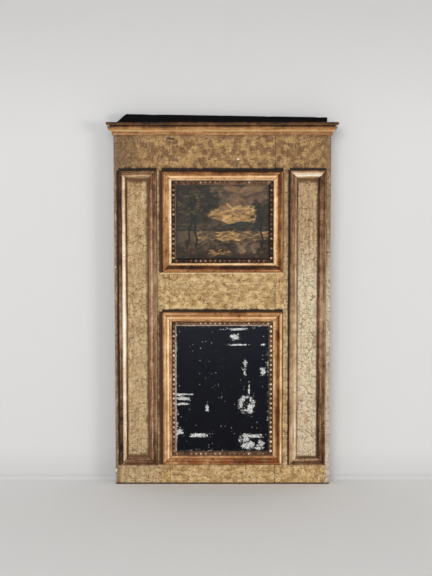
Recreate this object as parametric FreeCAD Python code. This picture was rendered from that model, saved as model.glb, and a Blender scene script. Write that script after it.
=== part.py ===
"""Trumeau mirror: painted board body, cornice, framed panel over a framed looking glass.

Millimetres, +Z up, the front faces -Y. The origin is the middle of the bounding box's bottom.
"""
import FreeCAD, Part

import math
import os

Vector = FreeCAD.Vector
X_AXIS = Vector(1, 0, 0)
Y_AXIS = Vector(0, 1, 0)
Z_AXIS = Vector(0, 0, 1)

# ---------------------------------------------------------------- body
body_width = 500.0
board_thickness = 18.0
stile_width = 128.0
bottom_margin = 46.0            # bare ground below the mirror frame
mirror_frame_height = 360.0
middle_gap = 91.0               # bare ground between the two frames
picture_frame_height = 235.0
frieze_height = 81.0            # bare ground between the picture frame and the cornice

tenon_length = 30.0
tenon_thickness = 6.0
tenon_shoulder = 15.0
tenon_clearance = 0.2

# ---------------------------------------------------------------- cornice
crown_height = 23.0             # the moulding under the cap board
cap_thickness = 5.5
cap_projection = 16.0
crown_fillet_projection = 3.0   # plain fillet at the foot of the crown
crown_fillet_height = 6.5
crown_quirk = 1.2               # small recess above the foot fillet
crown_roll_projection = 12.5
crown_groove_height = 4.0       # dark groove under the cap board
crown_groove_depth = 4.0

# ---------------------------------------------------------------- back frame
batten_thickness = 22.0
batten_inset = 3.0              # from the body's sides
side_batten_width = 58.0
bottom_batten_height = 52.0
middle_batten_height = 99.0
top_batten_overlap = 70.0       # below the cornice's top
top_batten_rise_left = 21.0     # above the cornice's top
top_batten_rise_right = 13.5
top_batten_bevel = 24.0         # sawn-off left corner
top_batten_right_cut = 5.0      # shorter than the other battens at the right

# ---------------------------------------------------------------- frame mouldings
frame_stick_width = 22.5
frame_edge_lean = 1.5           # the outer face leans in as it rises
frame_edge_height = 6.2
frame_edge_bead = 7.0
frame_bead_rise = 2.6
frame_groove_floor = 2.8
frame_groove_width = 3.0
frame_roll_radius = 3.4
frame_roll_rise = 3.0           # height of the roll's centre
frame_cove_sag = 0.6
frame_overlap = 18.0            # how far a frame covers the boards round its opening

# ---------------------------------------------------------------- pearl beading
pearl_strip_width = 10.5
pearl_strip_height = 3.5
pearl_sight_slope = 2.0         # bevelled sight edge
pearl_sight_height = 0.8
pearl_radius = 3.7
pearl_pitch = 11.2
pearl_gap = 1.0                 # between a pearl and the stick beside it

# ---------------------------------------------------------------- side panels
left_panel_gap = 11.5           # bare ground between the centre frames and the panel
right_panel_gap = 15.0
panel_outer_strip = 11.0        # bare ground outside each side panel
panel_stick_width = 18.0
panel_edge_lean = 0.0
panel_edge_height = 5.0
panel_edge_bead = 3.0
panel_bead_rise = 1.5
panel_roll_radius = 4.6
panel_roll_rise = 3.2
panel_cove_floor = 2.6
panel_cove_sag = 0.9
panel_inner_fillet = 1.9
panel_inner_height = 2.2

# ---------------------------------------------------------------- what the openings hold
mirror_thickness = 4.0
picture_thickness = 6.0
plate_clearance = 1.5
wedge_face = 10.0               # glued against the plate
wedge_length = 36.0
wedge_edge_gap = 0.3            # short of the boards' back
back_board_thickness = 8.0
back_board_lap = 12.0           # over the boards round an opening
back_board_gap = 1.0            # to the battens above and below

# ---------------------------------------------------------------- nails
nail_radius = 1.8
nail_head_radius = 4.5
nail_head_thickness = 1.5
nail_head_sink = 0.5
nail_bite = 12.0                # into the boards
nail_hole_clearance = 0.1
tack_radius = 1.1
tack_head_radius = 3.0
tack_head_thickness = 1.0
tack_bite = 9.0

# ---------------------------------------------------------------- ring hangers
hanger_drop = 81.5              # from the top batten to the ring's axis
hanger_plate_width = 18.0
hanger_plate_length = 62.0
hanger_plate_thickness = 1.6
knuckle_length = 14.0
knuckle_wall = 2.0
ring_wire_radius = 2.0
ring_running_clearance = 0.08
ring_half_width = 12.0          # to the wire's centre
ring_leg_length = 10.0
ring_corner_radius = 3.0
screw_radius = 1.75
screw_head_radius = 3.6
screw_head_height = 2.0
screw_length = 12.0
screw_end_distance = 8.0
screw_spacing = 20.0

# ---------------------------------------------------------------- worked out
half_width = body_width / 2.0
total_depth = cap_projection + board_thickness + batten_thickness
board_front = -total_depth / 2.0 + cap_projection
board_back = board_front + board_thickness
wall_face = board_back + batten_thickness

mirror_frame_bottom = bottom_margin
mirror_frame_top = mirror_frame_bottom + mirror_frame_height
picture_frame_bottom = mirror_frame_top + middle_gap
picture_frame_top = picture_frame_bottom + picture_frame_height
cornice_bottom = picture_frame_top + frieze_height
board_top = cornice_bottom + crown_height
cornice_top = board_top + cap_thickness

stile_inner = half_width - stile_width
frame_half_width = stile_inner + frame_overlap
mirror_opening = (mirror_frame_bottom + frame_overlap, mirror_frame_top - frame_overlap)
picture_opening = (picture_frame_bottom + frame_overlap, picture_frame_top - frame_overlap)

batten_half_width = half_width - batten_inset
side_batten_inner = batten_half_width - side_batten_width
middle_batten_bottom = (mirror_frame_top + picture_frame_bottom - middle_batten_height) / 2.0
middle_batten_top = middle_batten_bottom + middle_batten_height
top_batten_bottom = cornice_top - top_batten_overlap

back_board_half_width = stile_inner + back_board_lap
hanger_x = (back_board_half_width + side_batten_inner) / 2.0
hanger_height = top_batten_bottom - hanger_drop
knuckle_bore = ring_wire_radius + ring_running_clearance
knuckle_radius = knuckle_bore + knuckle_wall
ring_axis_y = board_back + knuckle_radius


def box(x_range, y_range, z_range):
    """A block between two corners."""
    size = [high - low for low, high in (x_range, y_range, z_range)]
    return Part.makeBox(*size, Vector(x_range[0], y_range[0], z_range[0]))


def prism(points, direction):
    """A flat outline of straight edges, pushed along a direction."""
    return Part.Face(Part.makePolygon(points + points[:1])).extrude(direction)


def line(start, end):
    return Part.LineSegment(start, end).toShape()


def arc(start, middle, end):
    return Part.Arc(start, middle, end).toShape()


def sagged(start, end, sag):
    """The middle point of an arc that dips below the chord from start to end."""
    chord = end - start
    across = Vector(0, chord.z, -chord.y).normalize()
    if across.y < 0:
        across = -across
    return (start + end) / 2.0 + across * sag


def hole(radius, start, length):
    """A round hole or shank along +Y."""
    return Part.makeCylinder(radius, length, start, Y_AXIS)


def write(name, shape):
    shape.exportStep("parts/%s.step" % name)


# ---------------------------------------------------------------- boards
def tenon_z(z_range):
    return z_range[0] + tenon_shoulder, z_range[1] - tenon_shoulder


def tenon_box(side, z_range, clearance):
    """A tenon on one side of a rail, or its mortise with the clearance added."""
    middle = (board_front + board_back) / 2.0
    half = tenon_thickness / 2.0 + clearance
    low, high = tenon_z(z_range)
    reach = stile_inner + tenon_length + clearance
    x_range = (stile_inner, reach) if side > 0 else (-reach, -stile_inner)
    return box(x_range, (middle - half, middle + half), (low - clearance, high + clearance))


def rail_ranges():
    return {
        "bottom_rail": (0.0, mirror_opening[0]),
        "middle_rail": (mirror_opening[1], picture_opening[0]),
        "frieze_rail": (picture_opening[1], board_top),
    }


def rail(z_range):
    solid = box((-stile_inner, stile_inner), (board_front, board_back), z_range)
    for side in (-1, 1):
        solid = solid.fuse(tenon_box(side, z_range, 0.0))
    return solid.removeSplitter()


def stile(side):
    x_range = (stile_inner, half_width) if side > 0 else (-half_width, -stile_inner)
    solid = box(x_range, (board_front, board_back), (0.0, board_top))
    mortises = [tenon_box(side, z_range, tenon_clearance) for z_range in rail_ranges().values()]
    return solid.cut(mortises)


# ---------------------------------------------------------------- back frame
def top_batten():
    """The board that rises behind the cornice: left corner sawn off, top edge falling to the right."""
    left = -batten_half_width
    right = batten_half_width - top_batten_right_cut
    outline = [
        Vector(left, board_back, top_batten_bottom),
        Vector(right, board_back, top_batten_bottom),
        Vector(right, board_back, cornice_top + top_batten_rise_right),
        Vector(left + top_batten_bevel, board_back, cornice_top + top_batten_rise_left),
        Vector(left, board_back, cornice_top),
    ]
    return prism(outline, Y_AXIS * batten_thickness)


def battens():
    depth = (board_back, wall_face)
    upright = (bottom_batten_height, top_batten_bottom)
    across = (-batten_half_width, batten_half_width)
    return {
        "top_batten": top_batten(),
        "middle_batten": box((-side_batten_inner, side_batten_inner), depth,
                             (middle_batten_bottom, middle_batten_top)),
        "bottom_batten": box(across, depth, (0.0, bottom_batten_height)),
        "left_batten": box((-batten_half_width, -side_batten_inner), depth, upright),
        "right_batten": box((side_batten_inner, batten_half_width), depth, upright),
    }


# ---------------------------------------------------------------- cornice
def crown_profile(place):
    """The crown's section, closed. place(projection, height) gives a point of it."""
    roll_foot = crown_fillet_height + crown_quirk
    roll_top = crown_height - crown_groove_height
    foot = place(crown_fillet_projection, roll_foot)
    crest = place(crown_roll_projection, roll_top)
    belly = place(crown_roll_projection - (crown_roll_projection - crown_fillet_projection) * 0.27,
                  roll_foot + (roll_top - roll_foot) * 0.30)
    recess = crown_fillet_projection - crown_quirk
    groove = crown_roll_projection - crown_groove_depth
    corners = [place(groove, roll_top), place(groove, crown_height), place(0, crown_height), place(0, 0),
               place(crown_fillet_projection, 0), place(crown_fillet_projection, crown_fillet_height),
               place(recess, crown_fillet_height), place(recess, roll_foot), foot]
    edges = [arc(foot, belly, crest), line(crest, corners[0])]
    edges += [line(a, b) for a, b in zip(corners, corners[1:])]
    return Part.Face(Part.Wire(edges))


def crown_front():
    reach = half_width + cap_projection
    face = crown_profile(lambda p, h: Vector(-reach, board_front - p, cornice_bottom + h))
    solid = face.extrude(X_AXIS * 2 * reach)
    mitre = prism([
        Vector(-half_width, board_front, cornice_bottom),
        Vector(half_width, board_front, cornice_bottom),
        Vector(reach, board_front - cap_projection, cornice_bottom),
        Vector(-reach, board_front - cap_projection, cornice_bottom),
    ], Z_AXIS * crown_height)
    return solid.common(mitre)


def crown_return(side):
    front = board_front - cap_projection
    face = crown_profile(lambda p, h: Vector(side * (half_width + p), front, cornice_bottom + h))
    solid = face.extrude(Y_AXIS * (board_back - front))
    mitre = prism([
        Vector(side * half_width, board_front, cornice_bottom),
        Vector(side * half_width, board_back, cornice_bottom),
        Vector(side * (half_width + cap_projection), board_back, cornice_bottom),
        Vector(side * (half_width + cap_projection), front, cornice_bottom),
    ], Z_AXIS * crown_height)
    return solid.common(mitre)


def cap_board():
    """The cornice's top board, with its front and side lower edges rounded."""
    reach = half_width + cap_projection
    solid = box((-reach, reach), (board_front - cap_projection, board_back), (board_top, cornice_top))
    edges = []
    for edge in solid.Edges:
        middle = edge.CenterOfMass
        low = abs(middle.z - board_top) < 0.01
        outer = abs(abs(middle.x) - reach) < 0.01 or abs(middle.y - (board_front - cap_projection)) < 0.01
        if low and outer:
            edges.append(edge)
    return solid.makeFillet(cap_thickness * 0.6, edges)


# ---------------------------------------------------------------- mouldings
def rolled_section(width, edge, bead, bead_rise, cove_end, cove_sag, roll_centre, roll_radius, roll_end):
    """An outer bead, a cove down to a groove, and a big roll.

    The section lies in the YZ plane: z is the distance inwards from the outer edge, -y the height.
    edge is where the outer face meets the bead, and roll_end the last point of the roll, both as
    (distance, height); the section drops from roll_end's height to the inner edge at width.
    """
    def at(distance, height):
        return Vector(0, -height, distance)

    rise = cove_end[1] - roll_centre[1]
    roll_start = at(roll_centre[0] - math.sqrt(roll_radius ** 2 - rise ** 2), cove_end[1])
    bead_end = at(edge[0] + bead, edge[1])
    cove_low = at(*cove_end)
    roll_stop = at(*roll_end)
    inner = at(width, roll_end[1])
    edges = [
        line(at(0, 0), at(*edge)),
        arc(at(*edge), at(edge[0] + bead / 2.0, edge[1] + bead_rise), bead_end),
        arc(bead_end, sagged(bead_end, cove_low, cove_sag), cove_low),
    ]
    if (roll_start - cove_low).Length > 0.01:
        edges.append(line(cove_low, roll_start))
    edges.append(arc(roll_start, at(roll_centre[0], roll_centre[1] + roll_radius), roll_stop))
    if (inner - roll_stop).Length > 0.01:
        edges.append(line(roll_stop, inner))
    edges.append(line(inner, at(width, 0)))
    edges.append(line(at(width, 0), at(0, 0)))
    return Part.Face(Part.Wire(edges))


def frame_section():
    """Section of the centre frames' sticks: the roll runs out at the inner edge."""
    roll_x = frame_stick_width - frame_roll_radius + 0.3
    reach = frame_stick_width - roll_x
    end_height = frame_roll_rise + math.sqrt(frame_roll_radius ** 2 - reach ** 2)
    drop = frame_groove_floor - frame_roll_rise
    roll_foot = roll_x - math.sqrt(frame_roll_radius ** 2 - drop ** 2)
    return rolled_section(frame_stick_width, (frame_edge_lean, frame_edge_height),
                          frame_edge_bead, frame_bead_rise,
                          (roll_foot - frame_groove_width, frame_groove_floor), frame_cove_sag,
                          (roll_x, frame_roll_rise), frame_roll_radius,
                          (frame_stick_width, end_height))


def panel_section():
    """Section of the side panels' sticks: a smaller roll with a low fillet inside it."""
    drop = panel_inner_height - panel_roll_rise
    roll_end = panel_stick_width - panel_inner_fillet
    roll_x = roll_end - math.sqrt(panel_roll_radius ** 2 - drop ** 2)
    foot_drop = panel_cove_floor - panel_roll_rise
    cove_end = roll_x - math.sqrt(panel_roll_radius ** 2 - foot_drop ** 2)
    return rolled_section(panel_stick_width, (panel_edge_lean, panel_edge_height),
                          panel_edge_bead, panel_bead_rise,
                          (cove_end, panel_cove_floor), panel_cove_sag,
                          (roll_x, panel_roll_rise), panel_roll_radius,
                          (roll_end, panel_inner_height))


def pearl_section():
    """Section of a pearl strip without its pearls, with a bevelled sight edge."""
    flat = pearl_strip_width - pearl_sight_slope
    points = [Vector(0, -h, d) for d, h in (
        (0, 0), (0, pearl_strip_height), (flat, pearl_strip_height),
        (pearl_strip_width, pearl_sight_height), (pearl_strip_width, 0))]
    return Part.Face(Part.makePolygon(points + points[:1]))


def mitred_stick(section, width, height, length):
    """A stick along X, outer edge at z = 0, with both ends mitred at 45 degrees."""
    half = length / 2.0
    blank = section.translated(Vector(-half, 0, 0)).extrude(X_AXIS * length)
    plan = prism([Vector(-half, 0, 0), Vector(half, 0, 0),
                  Vector(half - width, 0, width), Vector(-half + width, 0, width)], -Y_AXIS * height)
    return blank.common(plan)


def pearl_stick(length):
    """A mitred pearl strip: evenly spaced pearls sunk a little past their middle, clear of the mitres."""
    strip = mitred_stick(pearl_section(), pearl_strip_width, pearl_strip_height, length)
    line_z = pearl_gap + pearl_radius
    first = length / 2.0 - line_z - (pearl_radius + pearl_gap) * math.sqrt(2.0)
    count = max(1, round(2.0 * first / pearl_pitch))
    root_angle = -math.degrees(math.asin(min(0.6, 0.8 * pearl_strip_height / pearl_radius)))
    pearls = []
    for index in range(count + 1):
        centre = Vector(-first + 2.0 * first * index / count, -pearl_strip_height, line_z)
        pearls.append(Part.makeSphere(pearl_radius, centre, -Y_AXIS, root_angle, 90.0, 360.0))
    return strip.fuse(pearls)


SIDES = (("bottom", 0.0), ("right", -90.0), ("top", 180.0), ("left", 90.0))


def mitred_frame(x_range, z_range, make_stick):
    """Four sticks round a rectangle on the boards' front. make_stick(length) gives one."""
    width = x_range[1] - x_range[0]
    height = z_range[1] - z_range[0]
    centre = Vector((x_range[0] + x_range[1]) / 2.0, board_front, (z_range[0] + z_range[1]) / 2.0)
    sticks = {}
    for side, angle in SIDES:
        upright = side in ("left", "right")
        length = height if upright else width
        distance = (width if upright else height) / 2.0
        stick = make_stick(length)
        stick.translate(Vector(0, 0, -distance))
        stick.rotate(Vector(0, 0, 0), Y_AXIS, angle)
        stick.translate(centre)
        sticks[side] = stick
    return sticks


def frame_stick(length):
    return mitred_stick(frame_section(), frame_stick_width,
                        frame_edge_height + frame_edge_bead, length)


def panel_stick(length):
    return mitred_stick(panel_section(), panel_stick_width,
                        panel_roll_rise + panel_roll_radius + panel_edge_bead, length)


def centre_frames():
    """The mirror frame and the picture frame, each with its pearl strips."""
    nodes = {}
    for name, z_range in (("mirror", (mirror_frame_bottom, mirror_frame_top)),
                          ("picture", (picture_frame_bottom, picture_frame_top))):
        outer = frame_half_width
        inner = outer - frame_stick_width
        inner_z = (z_range[0] + frame_stick_width, z_range[1] - frame_stick_width)
        for side, stick in mitred_frame((-outer, outer), z_range, frame_stick).items():
            nodes["%s_frame_%s" % (name, side)] = stick
        for side, strip in mitred_frame((-inner, inner), inner_z, pearl_stick).items():
            nodes["%s_pearls_%s" % (name, side)] = strip
    return nodes


def side_panels():
    outer = half_width - panel_outer_strip
    z_range = (mirror_frame_bottom, picture_frame_top)
    ranges = {
        "left": (-outer, -frame_half_width - left_panel_gap),
        "right": (frame_half_width + right_panel_gap, outer),
    }
    nodes = {}
    for panel, x_range in ranges.items():
        for side, stick in mitred_frame(x_range, z_range, panel_stick).items():
            nodes["%s_panel_%s" % (panel, side)] = stick
    return nodes


# ---------------------------------------------------------------- plates and back boards
def plate(opening, thickness):
    """A plate that stands on the lower edge of its opening, against the back of the frame."""
    half = stile_inner - plate_clearance
    return box((-half, half), (board_front, board_front + thickness),
               (opening[0], opening[1] - 2.0 * plate_clearance))


def wedge(plate_back):
    """A glued wedge along Z, its corner at the origin, reaching towards -X from the opening's side."""
    depth = board_back - wedge_edge_gap - plate_back
    return prism([Vector(0, plate_back, -wedge_length / 2.0),
                  Vector(-wedge_face, plate_back, -wedge_length / 2.0),
                  Vector(0, plate_back + depth, -wedge_length / 2.0)], Z_AXIS * wedge_length)


def wedges(opening, thickness):
    """Two wedges on each upright side of an opening and one above and below."""
    plate_back = board_front + thickness
    middle = (opening[0] + opening[1]) / 2.0
    half_height = (opening[1] - opening[0]) / 2.0
    solids = []
    for turn, reach, places in ((0, stile_inner, (-0.5, 0.5)), (180, stile_inner, (-0.5, 0.5)),
                                (90, half_height, (0.0,)), (-90, half_height, (0.0,))):
        for place in places:
            solid = wedge(plate_back)
            solid.translate(Vector(reach, 0, place * half_height))
            solid.rotate(Vector(0, 0, 0), Y_AXIS, turn)
            solid.translate(Vector(0, 0, middle))
            solids.append(solid)
    return Part.makeCompound(solids)


def back_board_z(opening, low_batten_top, high_batten_bottom):
    low = max(opening[0] - back_board_lap, low_batten_top + back_board_gap)
    high = min(opening[1] + back_board_lap, high_batten_bottom - back_board_gap)
    return low, high


def back_board(z_range):
    return box((-back_board_half_width, back_board_half_width),
               (board_back, board_back + back_board_thickness), z_range)


# ---------------------------------------------------------------- nails
def nail_places():
    """(x, z) of every nail that ties a batten to the boards behind which it lies."""
    stile_x = (stile_inner + tenon_length + half_width) / 2.0
    rail_x = stile_inner / 2.0
    side_x = (side_batten_inner + batten_half_width) / 2.0
    top_z = (top_batten_bottom + board_top) / 2.0
    middle_z = (middle_batten_bottom + middle_batten_top) / 2.0
    places = []
    for side in (-1, 1):
        for z in (top_z, bottom_batten_height / 2.0):
            places += [(side * rail_x, z), (side * stile_x, z)]
        places += [(side * rail_x, middle_z),
                   (side * (stile_inner + tenon_length + side_batten_inner) / 2.0, middle_z)]
        span = top_batten_bottom - bottom_batten_height
        places += [(side * side_x, bottom_batten_height + span * share) for share in (0.1, 0.37, 0.63, 0.9)]
    return places


def nail(x, z, clearance):
    """A flush nail along Y. With a clearance it is the hole that the nail needs."""
    head_back = wall_face - nail_head_sink
    head_front = head_back - nail_head_thickness
    tip = board_back - nail_bite
    if clearance:
        head_front -= clearance
        tip -= clearance
        head_back = wall_face + clearance
    shank = hole(nail_radius + clearance, Vector(x, tip, z), head_front - tip)
    head = hole(nail_head_radius + clearance, Vector(x, head_front, z), head_back - head_front)
    return shank.fuse(head).removeSplitter()


def tack_places(z_range):
    """(x, z) of the tacks round a back board: three up each side, two above and below."""
    edge_x = back_board_half_width - back_board_lap / 2.0
    low, high = z_range
    places = []
    for side in (-1, 1):
        for share in (0.18, 0.5, 0.82):
            places.append((side * edge_x, low + (high - low) * share))
        for z in (low + back_board_lap / 2.5, high - back_board_lap / 2.5):
            places.append((side * stile_inner / 2.0, z))
    return places


def tack(x, z, clearance):
    back = board_back + back_board_thickness
    tip = board_back - tack_bite - clearance
    shank = hole(tack_radius + clearance, Vector(x, tip, z), back - tip)
    if clearance:
        return shank
    head = hole(tack_head_radius, Vector(x, back, z), tack_head_thickness)
    return shank.fuse(head).removeSplitter()


# ---------------------------------------------------------------- ring hangers
def screw_places(x):
    low = hanger_height - hanger_plate_length + screw_end_distance
    return [(x, low), (x, low + screw_spacing)]


def hanger_plate(x):
    """A strap rolled into a knuckle at its upper end, with two screw holes."""
    half = hanger_plate_width / 2.0
    top = hanger_height - knuckle_radius * 0.3
    bottom = hanger_height - hanger_plate_length
    strap = box((x - half, x + half), (board_back, board_back + hanger_plate_thickness),
                (bottom, hanger_height - knuckle_radius * 1.2))
    neck = box((x - knuckle_length / 2.0, x + knuckle_length / 2.0),
               (board_back, board_back + hanger_plate_thickness), (bottom, top))
    knuckle = Part.makeCylinder(knuckle_radius, knuckle_length,
                                Vector(x - knuckle_length / 2.0, ring_axis_y, hanger_height), X_AXIS)
    bore = Part.makeCylinder(knuckle_bore, knuckle_length + 2.0,
                             Vector(x - knuckle_length / 2.0 - 1.0, ring_axis_y, hanger_height), X_AXIS)
    holes = [hole(screw_radius + nail_hole_clearance, Vector(px, board_back - 1.0, pz),
                  hanger_plate_thickness + 2.0) for px, pz in screw_places(x)]
    return strap.fuse([neck, knuckle]).removeSplitter().cut([bore] + holes)


def hanger_ring(x):
    """A ring of round wire with a straight bar in the knuckle, hanging down."""
    wire = ring_wire_radius
    bar_half = ring_half_width - ring_corner_radius
    bow_z = -ring_leg_length
    leg = ring_leg_length - ring_corner_radius
    pieces = [Part.makeCylinder(wire, 2.0 * bar_half, Vector(-bar_half, 0, 0), X_AXIS)]
    for side in (-1, 1):
        corner = Part.makeTorus(ring_corner_radius, wire, Vector(side * bar_half, 0, -ring_corner_radius),
                                Y_AXIS)
        reach = ring_corner_radius + wire
        x_range = (bar_half, bar_half + reach) if side > 0 else (-bar_half - reach, -bar_half)
        pieces.append(corner.common(box(x_range, (-reach, reach), (-ring_corner_radius, wire))))
        pieces.append(Part.makeCylinder(wire, leg, Vector(side * ring_half_width, 0, bow_z), Z_AXIS))
    bow = Part.makeTorus(ring_half_width, wire, Vector(0, 0, bow_z), Y_AXIS)
    reach = ring_half_width + wire
    pieces.append(bow.common(box((-reach, reach), (-wire, wire), (bow_z - reach, bow_z))))
    solid = pieces[0].fuse(pieces[1:]).removeSplitter()
    solid.translate(Vector(x, ring_axis_y, hanger_height))
    return solid


def screw(x, z):
    """A round-headed screw through the strap into the stile."""
    face = board_back + hanger_plate_thickness
    shank = hole(screw_radius, Vector(x, face - screw_length, z), screw_length)
    ball = (screw_head_radius ** 2 + screw_head_height ** 2) / (2.0 * screw_head_height)
    dome = Part.makeSphere(ball, Vector(x, face + screw_head_height - ball, z))
    head = dome.common(hole(screw_head_radius + 1.0, Vector(x, face, z), screw_head_height + 1.0))
    return shank.fuse(head).removeSplitter()


# ---------------------------------------------------------------- assembly
def build():
    nodes = battens()
    for name, z_range in rail_ranges().items():
        nodes[name] = rail(z_range)
    nodes["stile_left"] = stile(-1)
    nodes["stile_right"] = stile(1)
    nodes["cornice_front"] = crown_front()
    nodes["cornice_left"] = crown_return(-1)
    nodes["cornice_right"] = crown_return(1)
    nodes["cornice_cap"] = cap_board()
    nodes.update(centre_frames())
    nodes.update(side_panels())
    nodes["mirror_plate"] = plate(mirror_opening, mirror_thickness)
    nodes["painted_panel"] = plate(picture_opening, picture_thickness)
    nodes["mirror_wedges"] = wedges(mirror_opening, mirror_thickness)
    nodes["picture_wedges"] = wedges(picture_opening, picture_thickness)

    mirror_back_z = back_board_z(mirror_opening, bottom_batten_height, middle_batten_bottom)
    picture_back_z = back_board_z(picture_opening, middle_batten_top, top_batten_bottom)
    nodes["mirror_back_board"] = back_board(mirror_back_z)
    nodes["picture_back_board"] = back_board(picture_back_z)

    places = nail_places()
    nodes["batten_nails"] = Part.makeCompound([nail(x, z, 0.0) for x, z in places])
    cuts = [nail(x, z, nail_hole_clearance) for x, z in places]
    tacks = tack_places(mirror_back_z) + tack_places(picture_back_z)
    nodes["back_board_tacks"] = Part.makeCompound([tack(x, z, 0.0) for x, z in tacks])
    cuts += [tack(x, z, nail_hole_clearance) for x, z in tacks]

    screws = []
    for side, name in ((-1, "left"), (1, "right")):
        x = side * hanger_x
        nodes["hanger_plate_%s" % name] = hanger_plate(x)
        nodes["hanger_ring_%s" % name] = hanger_ring(x)
        screws += [screw(px, pz) for px, pz in screw_places(x)]
        depth = screw_length + nail_hole_clearance - hanger_plate_thickness
        cuts += [hole(screw_radius + nail_hole_clearance, Vector(px, board_back - depth, pz), depth)
                 for px, pz in screw_places(x)]
    nodes["hanger_screws"] = Part.makeCompound(screws)

    drilled = [name for name in nodes
               if name.startswith("stile") or name.endswith(("_batten", "_rail", "_back_board"))]
    for name in drilled:
        near = [cut for cut in cuts if cut.BoundBox.intersect(nodes[name].BoundBox)]
        nodes[name] = nodes[name].cut(near)
    return nodes


os.makedirs("parts", exist_ok=True)
for node, shape in build().items():
    if not shape.isValid() or not shape.Solids:
        print("not a sound solid:", node)
    write(node, shape)
    print("%-24s %2d solid(s) %10.0f mm3" % (node, len(shape.Solids), shape.Volume))
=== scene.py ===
"""Looks of the trumeau mirror: worn paint, gilding, pearls, painted panel, old glass, aged wood."""
import itertools
import math
import random

import bmesh
import bpy
import numpy as np
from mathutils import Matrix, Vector


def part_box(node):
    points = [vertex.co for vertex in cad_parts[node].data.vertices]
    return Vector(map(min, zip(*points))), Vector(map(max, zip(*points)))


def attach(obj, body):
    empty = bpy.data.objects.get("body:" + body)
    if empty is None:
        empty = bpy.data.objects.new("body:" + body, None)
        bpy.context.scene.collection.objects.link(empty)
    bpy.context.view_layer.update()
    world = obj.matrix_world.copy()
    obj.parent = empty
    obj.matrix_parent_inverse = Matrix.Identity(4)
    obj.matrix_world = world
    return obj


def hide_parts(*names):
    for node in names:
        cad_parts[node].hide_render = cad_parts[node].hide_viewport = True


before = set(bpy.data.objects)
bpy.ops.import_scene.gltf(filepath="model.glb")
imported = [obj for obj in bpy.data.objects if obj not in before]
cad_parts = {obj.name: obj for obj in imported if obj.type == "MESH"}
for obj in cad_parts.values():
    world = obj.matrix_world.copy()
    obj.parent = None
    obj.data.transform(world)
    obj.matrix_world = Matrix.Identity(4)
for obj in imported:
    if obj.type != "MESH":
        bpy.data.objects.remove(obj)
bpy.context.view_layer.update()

MM = 0.001

# ---- places, from the parts of model.glb
BOARD_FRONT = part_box("stile_left")[0].y
BOARD_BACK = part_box("stile_left")[1].y
WALL_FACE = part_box("bottom_batten")[1].y
BODY_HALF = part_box("stile_right")[1].x
STILE_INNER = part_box("stile_right")[0].x
CORNICE_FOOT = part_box("cornice_front")[0].z
CROWN_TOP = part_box("cornice_front")[1].z
PICTURE_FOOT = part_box("picture_frame_bottom")[0].z

# ---- sections of the mouldings, in mm
FRAME_SECTION = dict(width=22.5, lean=1.5, edge=6.2, bead=7.0, bead_rise=2.6, groove=2.8, groove_width=3.0,
                     sag=0.6, radius=3.4, rise=3.0, past_roll=-0.3)
PANEL_SECTION = dict(width=18.0, lean=0.0, edge=5.0, bead=3.0, bead_rise=1.5, groove=2.6, groove_width=0.0,
                     sag=0.9, radius=4.6, rise=3.2, past_roll=1.9, end_height=2.2)
PEARL_STRIP = dict(width=10.5, height=3.5, slope=2.0, sight=0.8)
PEARL_RADIUS = 3.7
PEARL_PITCH = 11.2
PEARL_GAP = 1.0
CROWN_SECTION = dict(fillet=3.0, fillet_top=6.5, quirk=1.2, crest=12.5, groove_foot=19.0, groove=8.5)
# width and height of what shows of the glass and of the painting
GLASS_SIGHT = (212.0, 288.0)
PAINTING_SIGHT = (212.0, 169.0)

# ---- wear and painted light of the gilding
# The tones run from black grime and painted shadow over brown bole and dull leaf to leaf worn pale and painted
# highlights. Each stick has a word for every feature of its section, going inwards: partly its own wear, partly
# painted light and shade, with faces turned to the light from the lower right painted bright and faces turned
# away painted dark.
TONES = dict(black=0.02, brown=0.22, dull=0.37, tan=0.46, gold=0.58, bright=0.78, pale=1.02)
FRAME_FEATURES = (0.0, 1.5, 4.5, 8.0, 10.7, 14.5, 17.0, 19.4, 22.5)
PANEL_FEATURES = (0.0, 1.5, 3.5, 6.5, 8.5, 11.6, 14.5, 17.0)
# per stick: gilding wear with painted light and shade
STICK_LIGHT_AND_WEAR = {
    "mirror_frame_left": "brown tan tan bright tan pale gold tan gold",
    "mirror_frame_top": "brown dull tan tan tan bright gold tan tan",
    "mirror_frame_right": "brown gold bright dull brown dull gold gold bright",
    "mirror_frame_bottom": "brown dull dull brown dull brown gold tan tan",
    "picture_frame_left": "brown brown dull tan tan dull bright bright pale",
    "picture_frame_top": "black black brown tan tan bright bright tan pale",
    "picture_frame_right": "brown gold brown brown brown gold bright bright tan",
    "picture_frame_bottom": "brown dull dull brown black black gold bright gold",
    "left_panel_left": "black tan tan dull pale pale pale dull",
    "left_panel_top": "black dull tan tan tan gold gold tan",
    "left_panel_right": "brown gold tan tan dull gold tan tan",
    "left_panel_bottom": "brown dull brown dull dull brown dull dull",
    "right_panel_left": "black dull tan gold gold tan bright tan",
    "right_panel_top": "brown gold gold pale pale pale bright tan",
    "right_panel_right": "brown gold dull tan tan tan dull brown",
    "right_panel_bottom": "brown dull brown brown brown dull gold brown",
}
# how much paler a panel stick is at its top, its middle and its bottom
PANEL_FADE = {
    "left_panel_left": (-0.33, 0.00, -0.30),
    "left_panel_right": (-0.22, 0.04, -0.15),
    "right_panel_left": (-0.23, 0.02, 0.10),
    "right_panel_right": (-0.20, 0.02, -0.15),
    "left_panel_top": (-0.12, 0.0, 0.0),
    "right_panel_top": (-0.12, 0.0, 0.0),
}
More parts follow.
